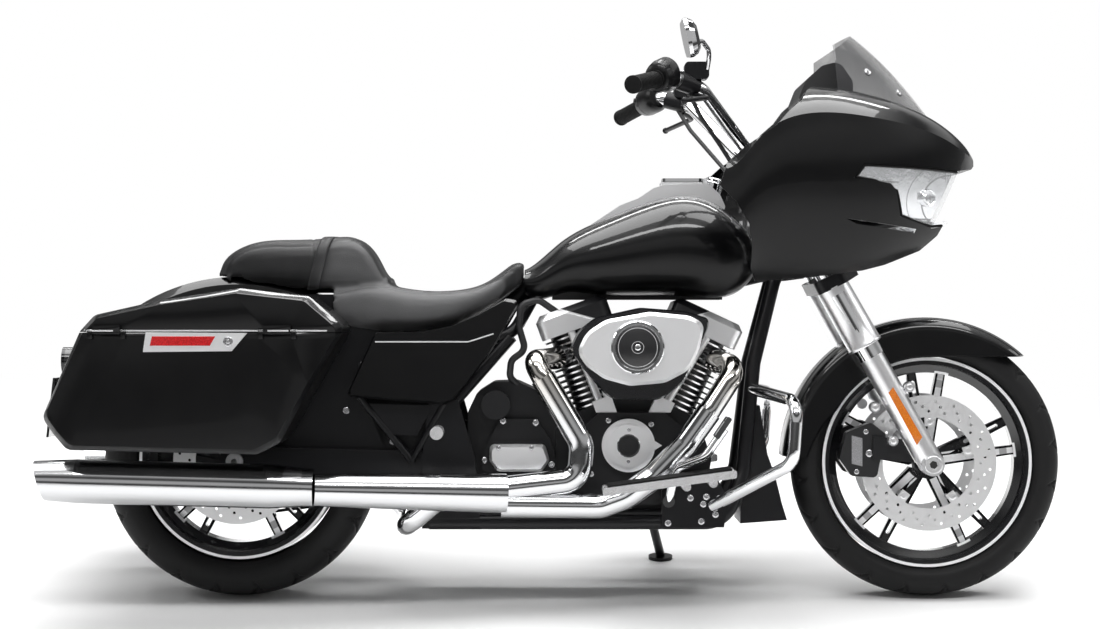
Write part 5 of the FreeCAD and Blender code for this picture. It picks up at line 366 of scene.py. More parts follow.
def walls(rows, count, ring=True, loop=False):
    quads = []
    for r in range(rows if loop else rows - 1):
        here, there = r * count, (r + 1) % rows * count
        for k in range(count if ring else count - 1):
            j = (k + 1) % count
            quads.append((here + k, here + j, there + j, there + k))
    return quads


tyre_rubber, shader, place_mm = finish("tyre_rubber", (0.006, 0.006, 0.0062), (1.2, 0.1, 3.0),
                                       IOR=1.3, Roughness=0.62)
dust = place_mm.grain(40.0, 4.0)
dust.tone((0.005, 0.005, 0.005), (0.012, 0.012, 0.0125)).to(shader, "Base Color")
(dust * 0.2 + 0.5).to(shader, "Roughness")

FRONT_AXLE = (1625.0, 319.3)
REAR_AXLE = (0.0, 327.6)
FLANK = [(0.15, 0.74), (0.27, 0.92), (0.42, 0.995), (0.62, 0.96), (0.83, 0.75), (0.95, 0.42),
         (1.0, 0.0)]
PITCHES = 20
STEPS_A_PITCH = 30
TREAD_DEEP = 4.0
GROOVE_HALF = 2.6
# Each groove: where in the pitch it starts, its inner and outer end, and its slope.
GROOVES = ((0.12, 0.06, 0.56, 0.75), (0.55, 0.34, 0.68, -0.5))


def tyre(name, node, axle, bead, half_wide, body):
    tall = axle[1] - bead
    side = smooth_line([(bead + tall * h, half_wide * w, 0) for h, w in FLANK], 11)
    section = [(p.x, -p.y) for p in side[:-1]] + [(p.x, p.y) for p in reversed(side)]
    reach = [0.0]
    for (r0, y0), (r1, y1) in zip(section, section[1:]):
        reach.append(reach[-1] + math.hypot(r1 - r0, y1 - y0))
    middle = reach[-1] / 2
    pitch = math.tau * axle[1] / PITCHES
    steps = PITCHES * STEPS_A_PITCH
    points = []
    for i in range(steps):
        turn = math.tau * i / steps
        for (radius, y), along in zip(section, reach):
            across = (along - middle) / middle
            wide = abs(across)
            place = (i / STEPS_A_PITCH + (0.5 if across > 0 else 0.0)) % 1.0
            deep = 0.0
            for start, low, high, slope in GROOVES:
                if low < wide < high:
                    off = abs((place - start - (wide - low) * slope + 0.5) % 1.0 - 0.5) * pitch
                    edge = min(1.0, (wide - low) / 0.04, (high - wide) / 0.05)
                    deep = max(deep, edge * (1 - min(1.0, max(0.0, (off - GROOVE_HALF) / 1.6))))
            rib = 0.8 * math.exp(-((radius - bead - tall * 0.24) / 2.2) ** 2)
            inward = TREAD_DEEP * deep * min(1.0, max(0.2, (0.75 - wide) * 4))
            inward -= rib * (radius < axle[1] * 0.9)
            r = radius - inward * (1 if wide < 0.6 else 0.3) - 0.3
            s = y - math.copysign(inward, y) * (0 if wide < 0.3 else 0.6)
            points.append((axle[0] + r * math.cos(turn), s, axle[1] + r * math.sin(turn)))
    faces = walls(steps, len(section), ring=False, loop=True)
    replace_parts(part_of(name, (points, faces), tyre_rubber, body, 60), node)


tyre("front_tyre_treaded", "front_tyre", FRONT_AXLE, 239.0, 65.0, "front_wheel")
tyre("rear_tyre_treaded", "rear_tyre", REAR_AXLE, 226.5, 90.0, "rear_wheel")

# The cast wheels are gloss black. The broad face of every first spoke and a thin ring round
# the rim are machined back to bright metal and lacquered.
SPOKE_PHASE = 7.5
WHEEL_BLACK = (0.006, 0.006, 0.007)


def wheel_paint(name, axle, ring):
    made, shader, place_mm = finish(name, WHEEL_BLACK, (9.0, 0.02), Roughness=0.2,
                                    Coat_Weight=0.8)
    ahead, _, up = axes(place_mm)
    ny = facing(place_mm)[1]
    dx, dz = ahead - axle[0], up - axle[1]
    radius = span(dx, dz)
    turn = dz.math("ARCTAN2", dx).math("DEGREES")
    off = (turn - SPOKE_PHASE + 36.0).math("FLOORED_MODULO", 72.0) - 36.0
    wide = abs(off.math("RADIANS") * radius)
    outward = abs(ny).above(0.82, 0.06)
    spoke = (1 - wide.above(17.0, 0.8)) * radius.within(44.0, ring - 24.0, 1.0) * outward
    step = radius.within(ring - 62.0, ring - 44.0, 1.0)
    lip = radius.within(ring, ring + 7.0, 0.6) * abs(ny).above(0.6, 0.1)
    bare = (spoke * (1 - step * 0.55) + lip).math("MINIMUM", 1.0)
    bare.tone(WHEEL_BLACK, (0.95, 0.95, 0.96)).to(shader, "Base Color")
    (bare * 0.6).to(shader, "Metallic")
    turning = place_mm.node("CombineXYZ", s0=radius * 0.05, s1=0.0, s2=0.0)
    marks = turning.node("TexNoise", s0=turning, Scale=40.0, Detail=3.0)
    (0.2 + bare * (marks * 0.14 + 0.16)).to(shader, "Roughness")
    ((1 - bare) * 0.8).to(shader, "Coat Weight")
    return made


wear(wheel_paint("front_wheel_paint", FRONT_AXLE, 241.0), "front_rim")
wear(wheel_paint("rear_wheel_paint", REAR_AXLE, 229.0), "rear_rim")


# Brake discs: stainless rings, ground flat in fine circles and drilled right through in
# three staggered rows. Rivets hold each ring to the bosses of its wheel.
def lofted(rows):
    count = len(rows[0])
    points = [Vector(p) for row in rows for p in row]
    first, last = range(count), range(len(points) - count, len(points))
    return points, walls(len(rows), count) + [tuple(reversed(first)), tuple(last)]


def turned(profile, centre, axis, steps=28):
    axis = Vector(axis).normalized()
    side = axis.orthogonal().normalized()
    other = axis.cross(side)
    rows = []
    for along, radius in profile:
        middle = Vector(centre) + axis * along
        turns = [math.tau * i / steps for i in range(steps)]
        rows.append([middle + (side * math.cos(a) + other * math.sin(a)) * radius for a in turns])
    return lofted(rows)


def gathered(parts):
    points, faces = [], []
    for more, flats in parts:
        faces += [tuple(i + len(points) for i in flat) for flat in flats]
        points += more
    return points, faces


def settled(made):
    ready = made.evaluated_get(bpy.context.evaluated_depsgraph_get())
    mesh = bpy.data.meshes.new_from_object(ready)
    made.modifiers.clear()
    made.data = mesh
    return mesh


disc_steel, shader, place_mm = finish("disc_steel", (0.6, 0.6, 0.61), Metallic=1.0, Roughness=0.3)
ahead, _, up = axes(place_mm)
half_base = FRONT_AXLE[0] / 2
radius = span(abs(ahead - half_base) - half_base, up - 323.0)
rings = place_mm.node("CombineXYZ", s0=radius, s1=0.0, s2=0.0)
ground = rings.node("TexNoise", s0=rings, Scale=1.4, Detail=4.0)
(ground * 0.2 + 0.32).to(shader, "Roughness")
(ground * 0.04).raise_up(shader)
(ground * 0.6 + 0.2).tone((0.72, 0.72, 0.73), (0.95, 0.95, 0.95)).to(shader, "Base Color")

HOLE_RADIUS = 3.6


def drilled(name, node, axle, low_y, high_y, inner, outer, count, body):
    holes = []
    for row in range(3):
        radius = inner + (outer - inner) * (0.27 + 0.23 * row)
        for i in range(count):
            a = math.tau * (i + row / 3) / count
            spot = (axle[0] + radius * math.cos(a), low_y, axle[1] + radius * math.sin(a))
            drill = [(0, HOLE_RADIUS), (high_y - low_y, HOLE_RADIUS)]
            holes.append(turned(drill, spot, (0, 1, 0), 12))
    cutter = part_of(name + "_drill", gathered(holes), disc_steel, body)
    made = placed(name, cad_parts[node].data.copy())
    cut = made.modifiers.new("holes", "BOOLEAN")
    cut.operation = "DIFFERENCE"
    cut.solver = "EXACT"
    cut.object = cutter
    dressed(settled(made), disc_steel, 30).name = name
    bpy.data.objects.remove(cutter)
    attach(made, body)
    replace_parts(made, node)


drilled("front_discs_drilled", "front_discs", FRONT_AXLE, -90.0, 90.0, 108.0, 160.0, 20,
        "front_wheel")
drilled("rear_disc_drilled", "rear_disc", REAR_AXLE, -120.0, -90.0, 98.0, 150.0, 18, "rear_wheel")


def bolt(spot, axis, radius, tall):
    rim = radius * 0.82
    socket = radius * 0.45
    shape = [(-2.0, radius), (tall * 0.8, radius), (tall, rim), (tall, socket),
             (tall * 0.35, socket)]
    return turned(shape, spot, axis, 14)


BOSS_RADIUS = 97.0


def disc_bolts(name, axle, sides, body):
    heads = []
    for i in range(5):
        a = math.radians(SPOKE_PHASE + 9.5 + 72 * i)
        for y in sides:
            spot = (axle[0] + BOSS_RADIUS * math.cos(a), y, axle[1] + BOSS_RADIUS * math.sin(a))
            heads.append(bolt(spot, (0, y, 0), 8.0, 3.0))
    part_of(name, gathered(heads), satin, body)


disc_bolts("front_disc_rivets", FRONT_AXLE, (-76.5, 76.5), "front_wheel")
disc_bolts("rear_disc_bolts", REAR_AXLE, (-106.5,), "rear_wheel")

# The seat is one moulded foam pad in two steps under black vinyl. The cover is sewn from a
# top panel and side bands, so a seam runs round each step, and the foam crowns between.
seat_vinyl, shader, place_mm = finish("seat_vinyl", (0.006, 0.006, 0.0065), Roughness=0.45,
                                      IOR=1.35)
ahead, out, up = axes(place_mm)
# Painted sheen: the rider's step is painted lighter along its side bands, and a slow noise adds
# soft patches of painted light. The same noise sways the roughness.
soft_light = place_mm.grain(70.0)
side_sheen = abs(out).above(112.0, 3.0) * (ahead - (up - 700.0) * 0.6).above(150.0, 40.0)
sheen = side_sheen * 0.6 + soft_light * 0.3
sheen.tone((0.004, 0.004, 0.0044), (0.1, 0.1, 0.102)).to(shader, "Base Color")
(soft_light * 0.14 + 0.36).to(shader, "Roughness")
(place_mm.pebble(2.4) * 0.16 + place_mm.grain(0.8) * 0.04).raise_up(shader)

pad = placed("seat_pad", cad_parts["seat"].data.copy())
shrink = pad.modifiers.new("slack", "DISPLACE")
shrink.strength = -0.004
shrink.mid_level = 0.0
mesh_in = pad.modifiers.new("foam", "REMESH")
mesh_in.mode = "VOXEL"
mesh_in.voxel_size = 0.007
mesh_in.use_smooth_shade = True
settled(pad)
start = [v.co.copy() for v in pad.data.vertices]
FOAM_SWELL = 0.004
CLOTH_STEPS = 20
cover = pad.modifiers.new("cover", "CLOTH")
cover.settings.quality = 4
cover.settings.use_pressure = True
cover.settings.uniform_pressure_force = 4
cover.settings.effector_weights.gravity = 0
cover.point_cache.frame_end = CLOTH_STEPS
for step in range(1, CLOTH_STEPS + 1):
    scene.frame_set(step)
settled(pad)
for v, old in zip(pad.data.vertices, start):
    move = v.co - old
    v.co = old + move * min(1.0, FOAM_SWELL / max(move.length, 1e-6))
scene.frame_set(1)
finer = pad.modifiers.new("finer", "SUBSURF")
finer.levels = 1
finer.render_levels = 1
settled(pad)

unpark = PARKED.inverted()
SEAM_DEEP = 2.4
NO_SEAM = 99.0


def seam_depth(p):
    wide = 116.0 if p.x < 180 else 132.0 - max(0.0, p.x - 400) * 0.14
    runs = abs(abs(p.y) - wide)
    rear = abs(p.x - 186.0 + (p.z - 740.0) * 0.1) if p.z > 735 else NO_SEAM
    crown = abs(p.x - 420.0 - abs(p.y) * 0.25) if abs(p.y) < wide else NO_SEAM
    return SEAM_DEEP * math.exp(-(min(runs, rear, crown) / 3.0) ** 2)


for v in pad.data.vertices:
    spot = unpark @ v.co
    inward = -math.copysign(0.7, spot.y) if abs(spot.y) > 90 else 0.0
    v.co = PARKED @ (spot + Vector((0, inward, -0.7)) * seam_depth(spot))
pad.data.materials.clear()
pad.data.materials.append(seat_vinyl)
pad.data.shade_smooth()
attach(pad, "chassis")
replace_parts(pad, "seat")

# A flat strap of the same vinyl over a webbing core crosses the front of the passenger
# step, and goes down on each side of the seat.
skins = {}


def land(node, start, aim):
    if node not in skins:
        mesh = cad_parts[node].data
        flats = [tuple(face.vertices) for face in mesh.polygons]
        skins[node] = BVHTree.FromPolygons([unpark @ v.co for v in mesh.vertices], flats)
    way = (Vector(aim) - Vector(start)).normalized()
    return skins[node].ray_cast(Vector(start), way)[:2]


STRAP = ((-13, 0.5), (-12, 3.2), (-6, 3.8), (6, 3.8), (12, 3.2), (13, 0.5))
points = []
for i in range(61):
    a = math.radians(-104 + 208 * i / 60)
    outward = Vector((0, math.sin(a), math.cos(a)))
    middle = Vector((222.0 - 44.0 * (1 - math.cos(a)) * 0.9, 0, 742))
    spot, _ = land("seat", middle + outward * 400, middle)
    if spot is not None:
        points += [spot + Vector((along, 0, 0)) + outward * lift for along, lift in STRAP]
faces = walls(len(points) // len(STRAP), len(STRAP), ring=False)
part_of("seat_strap", (points, faces), seat_vinyl, "chassis", 70)


# Socket-head screws, zinc plated, hold the covers, plates and brackets. Each one is set on
# the face that carries it, square to that face.
OUTSIDE = 700


def land_beside(node, side, x, z):
    return land(node, (x, side * OUTSIDE, z), (x, 0, z))


def screws(name, node, spots, body, radius=6.0, tall=4.0):
    heads = []
    for x, z in spots:
        spot, normal = land_beside(node, -1, x, z)
        if spot is None:
            raise ValueError(f"{name}: nothing at {x}, {z}")
        heads.append(bolt(spot, normal, radius, tall))
    part_of(name, gathered(heads), zinc, body)


zinc = finish("zinc_plate", (0.55, 0.55, 0.56), haze=(2.0, 0.2, 0.16), Metallic=1.0,
              Roughness=0.25)[0]
screws("gearbox_screws", "engine_case", [(623, 420), (700, 416), (579, 328), (737, 318)],
       "chassis", 7.5, 5.0)
screws("cam_chest_screws", "engine_case",
       [(869, 422), (969, 413), (829, 360), (829, 297), (1018, 330)], "chassis", 6.5)
screws("cam_cover_screws", "engine_covers", [(916.5, 401), (915, 328)], "chassis", 4.5, 2.0)
screws("gearbox_cover_screws", "engine_covers", [(613, 359), (690, 359)], "chassis", 5.5, 3.0)
screws("foot_bracket_screws", "frame",
       [(1058, 244), (1095, 247), (1124, 243), (1088, 230), (1116, 206), (1083, 190),
        (1006, 186)], "chassis", 7.5, 5.0)


# The disc on the air cleaner is a black insert with fine turned rings in a chrome bezel,
# and one screw at its middle holds the whole cover.
def open_ended(shape):
    points, faces = shape
    return points, faces[:-2]


INSERT_BLACK = (0.01, 0.01, 0.011)
CLEANER_MIDDLE = Vector((934.0, -240.0, 593.5))
TO_RIGHT = (0, -1, 0)
insert_black, shader, place_mm = finish("insert_black", INSERT_BLACK, Roughness=0.3,
                                        Coat_Weight=0.4)
ahead, _, up = axes(place_mm)
radius = span(ahead - CLEANER_MIDDLE.x, up - CLEANER_MIDDLE.z)
((radius * 1.4).math("SINE") * 0.06).raise_up(shader)
line = radius.within(44.0, 45.4, 0.3) + radius.within(13.0, 14.2, 0.3)
line.tone(INSERT_BLACK, (0.5, 0.5, 0.51)).to(shader, "Base Color")
insert = turned([(-1.0, 50.0), (1.6, 50.0), (2.4, 48.6), (2.4, 0.5)], CLEANER_MIDDLE, TO_RIGHT, 72)
part_of("cleaner_insert", insert, insert_black, "chassis")
bezel = turned([(-1.0, 61.0), (3.0, 61.0), (5.0, 58.5), (5.0, 53.0), (1.6, 50.2), (1.6, 49.0)],
               CLEANER_MIDDLE, TO_RIGHT, 72)
part_of("cleaner_bezel", open_ended(bezel), chrome, "chassis", 30)
screw = bolt(CLEANER_MIDDLE + Vector((0, -2, 0)), TO_RIGHT, 7.0, 3.0)
part_of("cleaner_screw", screw, chrome, "chassis")

# Broad bright covers are brushed and lacquered, so they show a soft light, not a mirror:
# the air cleaner's and engine's covers, pushrod tubes, tank console and reflector plates.
brushed, shader, place_mm = finish("brushed_face", (0.95, 0.95, 0.96), Metallic=0.8,
                                   Roughness=0.36)
ahead, out, up = axes(place_mm)
streak = place_mm.node("CombineXYZ", s0=ahead * 0.02, s1=out, s2=up * 1.2)
marks = streak.node("TexNoise", s0=streak, Scale=1.0, Detail=3.0)
(marks * 0.16 + 0.28).to(shader, "Roughness")
(marks * 0.02).raise_up(shader)
wear(brushed, "air_cleaner_cover", "engine_covers", "reflector_plates", "pushrod_tubes",
     "tank_console")

# The cam cover carries a plain black roundel in a chrome ring. Both are pressed discs that
# are let into the cover's flat face.
CAM_MIDDLE = (915.4, -160.0, 364.2)
ring = turned([(-1.0, 27.0), (1.2, 27.0), (1.8, 26.0), (1.8, 23.6), (0.6, 23.0), (0.6, 0.5)],
              CAM_MIDDLE, TO_RIGHT, 56)
part_of("cam_roundel", ring, chrome, "chassis", 30)
face = turned([(0.0, 23.0), (1.3, 23.0), (1.3, 0.5)], CAM_MIDDLE, TO_RIGHT, 56)
part_of("cam_roundel_face", face, insert_black, "chassis")

# Calipers: aluminium castings painted black, with a stippled cover plate over the pads. Two
# screws join the halves, and a thicker pin carries the pads.
CALIPER_BLACK = (0.012, 0.012, 0.013)
caliper_black, shader, place_mm = finish("caliper_paint", CALIPER_BLACK, (1.3, 0.12, 3.0),
                                         Roughness=0.34, Coat_Weight=0.3)
ahead, out, up = axes(place_mm)
tall = (up + (ahead - 1453.0) * 0.25).within(316, 382, 0.8)
plate = ahead.within(1441, 1466, 0.8) * tall * (-1 * out).above(98.0, 1.0)
stipple = plate * (place_mm.pebble(2.0) * 0.6 + 0.4)
stipple.tone(CALIPER_BLACK, (0.35, 0.35, 0.36)).to(shader, "Base Color")
wear(caliper_black, "calipers")
screws("caliper_screws", "calipers", [(1474, 394), (1452, 300)], "front_end")
screws("caliper_pin", "calipers", [(1482, 343)], "front_end", 8.5)

# Round ears are cast on the outside of each slider. Two carry the caliper's screws, and the
# top one carries the fender's.
SIDES = ((-1, "right"), (1, "left"))
EAR = [(0.0, 12.5), (26.0, 12.5), (28.0, 11.0), (28.0, 0.5)]
for side, word in SIDES:
    ears = []
    for x, z in ((1492.0, 452.0), (1534.0, 374.0), (1572.0, 500.0)):
        ears.append(turned(EAR, (x, side * 106.0, z), (0, side, 0), 24))
        ears.append(bolt((x, side * 134.0, z), (0, side, 0), 7.5, 4.0))
    part_of("slider_ears_" + word, gathered(ears), satin, "front_end")


# Amber and red reflectors: moulded prisms behind a clear face, in a thin rim. Each is
# outlined forward and up, and its rings of corners step out from the plate that holds it.
def reflector(name, corners, y, thick, tone, deep_tone, body):
    made, shader, place_mm = finish(name + "_plastic", tone, Roughness=0.12, Coat_Weight=1.0)
    cells = place_mm.pebble(3.2)
    cells.tone(deep_tone, tone).to(shader, "Base Color")
    (cells * 0.5).raise_up(shader)
    middle_x, middle_z = [sum(p[i] for p in corners) / len(corners) for i in (0, 1)]
    side = int(math.copysign(1, y))
    points = []
    for share, lift in ((1.0, -thick), (1.0, thick * 0.6), (0.94, thick)):
        points += [(middle_x + (x - middle_x) * share, y + side * lift,
                    middle_z + (z - middle_z) * share) for x, z in corners[::-side]]
    count = len(corners)
    faces = walls(3, count) + [tuple(range(2 * count, 3 * count))]
    part_of(name, (points, faces), made, body, 20)


AMBER = [(1531, 500), (1520, 487), (1586, 365), (1599, 384)]
RED = [(-146, 621), (-151, 600), (-18, 600), (-6, 621)]
BAG_PLATE = 436.0
for side, word in SIDES:
    reflector("amber_reflector_" + word, AMBER, side * 150.5, 2.2, (0.75, 0.22, 0.01),
              (0.5, 0.1, 0.0), "front_end")
    reflector("red_reflector_" + word, RED, side * BAG_PLATE, 1.6, (0.62, 0.012, 0.015),
              (0.25, 0.0, 0.0), "chassis")
    lock = (22.0, side * BAG_PLATE, 609.0)
    collar = [(-1.0, 11.0), (1.4, 11.0), (2.2, 9.6), (2.2, 7.0), (0.4, 6.4), (0.4, 0.5)]
    barrel = [(0.0, 5.0), (2.6, 5.0), (3.0, 4.4), (3.0, 0.5)]
    rings = [turned(collar, lock, (0, side, 0), 32), turned(barrel, lock, (0, side, 0), 24)]
    part_of("bag_lock_" + word, gathered(rings), zinc, "chassis")

# Each headlamp is a clear moulded lens over a bright bowl with a turn-signal bar along its
# top. The bowl follows the lens a finger's width behind it.
lens_clear = finish("lens_clear", (0.9, 0.92, 0.94), (20.0, 0.02, 1.0), Roughness=0.03, Alpha=0.22,
                    Coat_Weight=1.0)[0]
# The bowl glows faintly, a painted light, though the lamp is not lit.
bowl_bright, shader, place_mm = finish("bowl_bright", (0.86, 0.87, 0.89), Metallic=1.0,
                                       Roughness=0.16, Emission_Color=(1, 1, 1, 1),
                                       Emission_Strength=0.1)
ahead, _, up = axes(place_mm)
bar = up.within(966.0, 969.0, 0.8) * (1 - ahead.above(1520.0, 4.0))
flutes = (ahead * 0.9).math("SINE") * ahead.above(1640.0, 6.0)
(flutes * 0.5 + place_mm.grain(26.0) * 1.6).raise_up(shader)
# Painted shade: thin dark lines at the bowl's two steps, along its lower edge and down one corner,
# a dark patch beside the projector and a little in the flutes, joined with the dark bar at the top.
dx, dz = ahead - 1660.0, up - 925.0
sweep = (dx * dx * 0.6 + dz * dz).math("SQRT")
steps = sweep.within(62.0, 65.0, 1.0) + sweep.within(92.0, 94.0, 1.0) * 0.8
inner = ahead.above(1470.0, 4.0) * steps
flat = ahead.within(1566.0, 1584.0, 1.5) * up.within(930.0, 946.0, 1.5) * 0.7
corner = ahead.within(1493.0, 1497.0, 1.0) * (1 - up.above(965.0, 2.0))
under = up.within(884.0, 888.0, 1.0) + corner
shade = (bar + inner + flat + under + flutes * 0.25).math("MINIMUM", 1.0).math("MAXIMUM", 0.0)
shade.tone((0.8, 0.81, 0.83), (0.04, 0.04, 0.045)).to(shader, "Base Color")
# Both shells end at the front along one raked line, so they're trimmed there.
for name, skin, behind in (("headlamp_lenses", lens_clear, 0.0),
                           ("headlamp_bowls", bowl_bright, 1.0)):
    shell = bmesh.new()
    shell.from_mesh(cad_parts["headlamps"].data)
    for v in shell.verts:
        spot = unpark @ v.co
        v.co = (spot.x - behind * ((spot.x - 1560.0) * 0.04 + 7.0), spot.y * (1 - 0.045 * behind),
                (spot.z - 935.0) * (1 - 0.06 * behind) + 935.0)
    every = shell.verts[:] + shell.edges[:] + shell.faces[:]
    bmesh.ops.bisect_plane(shell, geom=every, plane_co=(1683.0, 0, 999.0),
                           plane_no=(1.0, 0, -0.284), clear_outer=True)
    shell.transform(PARKED)
    mesh = bpy.data.meshes.new(name)
    shell.to_mesh(mesh)
    shell.free()
    made = placed(name, dressed(mesh, skin, 35))
    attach(made, "chassis")
    if skin is lens_clear:
        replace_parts(made, "headlamps")


# A black moulded seal closes the gap between each lens and the fairing. It is a round cord
# that is pressed into the lens's edge.
def along_path(path, i):
    before, after = Vector(path[max(i - 1, 0)]), Vector(path[min(i + 1, len(path) - 1)])
    return (after - before).normalized()


def cord(path, radius, steps=8):
    rows = []
    for i, spot in enumerate(path):
        run = along_path(path, i)
        side_way = run.cross(Vector((0, 1, 0))).normalized()
        other = run.cross(side_way)
        turns = [math.tau * k / steps for k in range(steps)]
        rows.append([spot + (side_way * math.cos(a) + other * math.sin(a)) * radius for a in turns])
    return lofted(rows)


LAMP_EDGE = [(1668, 996), (1560, 1000), (1436, 1003), (1415, 976), (1460, 969), (1499, 961),
             (1513, 947), (1526, 893), (1560, 880), (1604, 870), (1640, 874)]
for side, word in SIDES:
    path = []
    for a, b in zip(LAMP_EDGE, LAMP_EDGE[1:]):
        for i in range(5):
            x, z = a[0] + (b[0] - a[0]) * i / 5, a[1] + (b[1] - a[1]) * i / 5
            path.append(land_beside("headlamps", side, x, z)[0])
    seal = cord([spot for spot in path if spot is not None], 3.2)
    part_of("lamp_seal_" + word, seal, rubber, "chassis", 50)

# The windscreen is smoked polycarbonate, a little denser to the top. Two dished screws a
# side hold it to the fairing.
smoke, shader, place_mm = finish("screen_smoke", (0.035, 0.035, 0.038), (60.0, 0.02, 1.0),
                                 Roughness=0.05, Coat_Weight=1.0)
(axes(place_mm)[2].above(1240.0, 90.0) * 0.1 + 0.32).to(shader, "Alpha")
wear(smoke, "windscreen")
DISHED = [(-2.0, 9.0), (2.0, 9.0), (3.4, 6.4), (2.6, 4.0), (1.2, 3.6), (1.2, 0.5)]
heads = []
for side, _ in SIDES:
    for x, z in ((1466, 1228), (1545, 1184)):
        spot, normal = land_beside("windscreen", side, x, z)
        heads.append(turned(DISHED, spot, normal, 20))
part_of("screen_screws", gathered(heads), zinc, "chassis")

# The grips are black rubber moulded over the bar ends, with a row of raised rings, a rounded
# cap and a collar at the inner end.
GRIP_OUTER = (915.0, 455.0, 1175.0)
GRIP_INNER = (1003.0, 266.0, 1211.0)
RINGS = 15


def on_side(spot, side):
    return Vector((spot[0], side * spot[1], spot[2]))


grip_shape = [(-0.6, 0.5), (-0.6, 18.5), (0.5, 20.5), (7.0, 20.5), (8.5, 19.0)]
for i in range(RINGS):
    start = 12.0 + i * 7.6
    grip_shape += [(start, 18.4), (start + 0.8, 19.5), (start + 5.0, 19.5), (start + 5.8, 18.4)]
grip_shape += [(127.0, 18.6), (128.0, 22.0), (134.0, 22.0), (135.0, 17.0)]
for side, word in SIDES:
    outer = on_side(GRIP_OUTER, side)
    grip = turned(grip_shape, outer, on_side(GRIP_INNER, side) - outer, 30)
    made = part_of("grip_" + word, grip, rubber, "front_end", 50)
    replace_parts(made, "grips")

# Eleven ribs of black rubber run along each footboard. The rubber is moulded and laid in
# the bright pan, and follows its rise to the front.
STRIPS = 11
BOARD_BACK, BOARD_LOW, BOARD_LONG = 862.0, 281.6, 279.0
BOARD_RISE = 41.0 / 299.4
strips = []
for side, _ in SIDES:
    for i in range(STRIPS):
        y = side * (270.0 + i * 9.2)
        ends = (Vector((BOARD_BACK, y, BOARD_LOW)),
                Vector((BOARD_BACK + BOARD_LONG, y, BOARD_LOW + BOARD_LONG * BOARD_RISE)))
        rib = ((4.0, -0.5), (3.0, 4.0), (-3.0, 4.0), (-4.0, -0.5))
        strips.append(lofted([[end + Vector((0, wide, lift)) for wide, lift in rib]
                              for end in ends]))
part_of("board_rubbers", gathered(strips), rubber, "chassis", 20)

# The ignition switch stands at the console's front. It is a turned and chromed dome on a
# short collar.
dome = turned([(-14.0, 24.0), (8.0, 24.0), (10.0, 21.0), (16.0, 20.0), (20.0, 15.0), (21.5, 0.5)],
              (1122.0, 0.0, 975.0), (0.25, 0, 1), 40)
part_of("ignition_dome", dome, chrome, "chassis", 35)

# Two dials face the rider: printed black faces with a ring of white marks, each in a turned
# chrome bezel that is pressed into the cockpit panel.
DIAL_OUT, DIAL_HIGH = 62.0, 1112.0
DIAL_BLACK = (0.01, 0.01, 0.011)
dial_face, shader, place_mm = finish("dial_face", DIAL_BLACK, Roughness=0.4, Coat_Weight=1.0)
_, out, up = axes(place_mm)
dy, dz = abs(out) - DIAL_OUT, up - DIAL_HIGH
turn = dz.math("ARCTAN2", dy).math("DEGREES")
tick = abs((turn + 360.0).math("FLOORED_MODULO", 20.0) - 10.0)
upper = 1 - (-1 * dz).above(22.0, 1.0)
marks = tick.above(8.6, 0.4) * span(dy, dz).within(30.0, 38.0, 0.5) * upper
marks.tone(DIAL_BLACK, (0.85, 0.85, 0.85)).to(shader, "Base Color")
TO_RIDER = (-1, 0, 0)
for side, word in SIDES:
    y = side * DIAL_OUT
    spot, _ = land("inner_fairing", (900, y, DIAL_HIGH), (1400, y, DIAL_HIGH))
    bezel = turned([(-1.0, 43.0), (5.0, 43.0), (7.0, 41.0), (4.0, 38.6), (0.8, 38.6)], spot,
                   TO_RIDER, 48)
    part_of("dial_bezel_" + word, open_ended(bezel), chrome, "chassis", 30)
    face = turned([(0.0, 38.8), (0.8, 38.8), (0.8, 0.5)], spot, TO_RIDER, 48)
    part_of("dial_face_" + word, face, dial_face, "chassis")

# The rocker boxes are cast in two halves. The lower covers are bright, the tops are painted
# black, and a gasket line runs between them.
BRIGHT = (0.9, 0.9, 0.91)
TOP_BLACK = (0.006, 0.006, 0.007)
rocker, shader, place_mm = finish("rocker_finish", BRIGHT, haze=(12.0, 0.12, 0.26), Metallic=1.0,
                                  Roughness=0.26)
ahead, _, up = axes(place_mm)
lean = up - abs(ahead - 942.5) * 0.27
black_top = lean.above(632.0, 0.6)
joint = lean.within(628.0, 631.0, 0.5)
black_top.tone(BRIGHT, TOP_BLACK).to(shader, "Base Color")
((1 - black_top) * 0.8).to(shader, "Metallic")
(joint * -0.5 + place_mm.grain(1.2) * 0.02).raise_up(shader)
wear(rocker, "rocker_covers")


# A moulded wiring tray runs under the tank along the backbone, between the rocker boxes. It
# is cut and folded the same on both sides of the machine.
def pressed(rim, outer, inner):
    both = []
    for side, _ in SIDES:
        levels = sorted((side * outer, side * inner))
        both.append(lofted([[(x, y, z) for x, z in rim] for y in levels]))
    return gathered(both)


TRAY = [(738, 716), (778, 733), (1120, 733), (1140, 716), (1140, 704), (738, 704)]
part_of("wiring_tray", pressed(TRAY, 58.0, 30.0), grained, "chassis", 25)

# The footboards' pans are cast in light alloy. Their rims are linished bright and
# lacquered.
pan_bright = finish("pan_bright", (0.93, 0.93, 0.94), (1.0, 0.02), (10.0, 0.1, 0.2),
                    Metallic=0.75, Roughness=0.24)[0]
wear(pan_bright, "footboards")

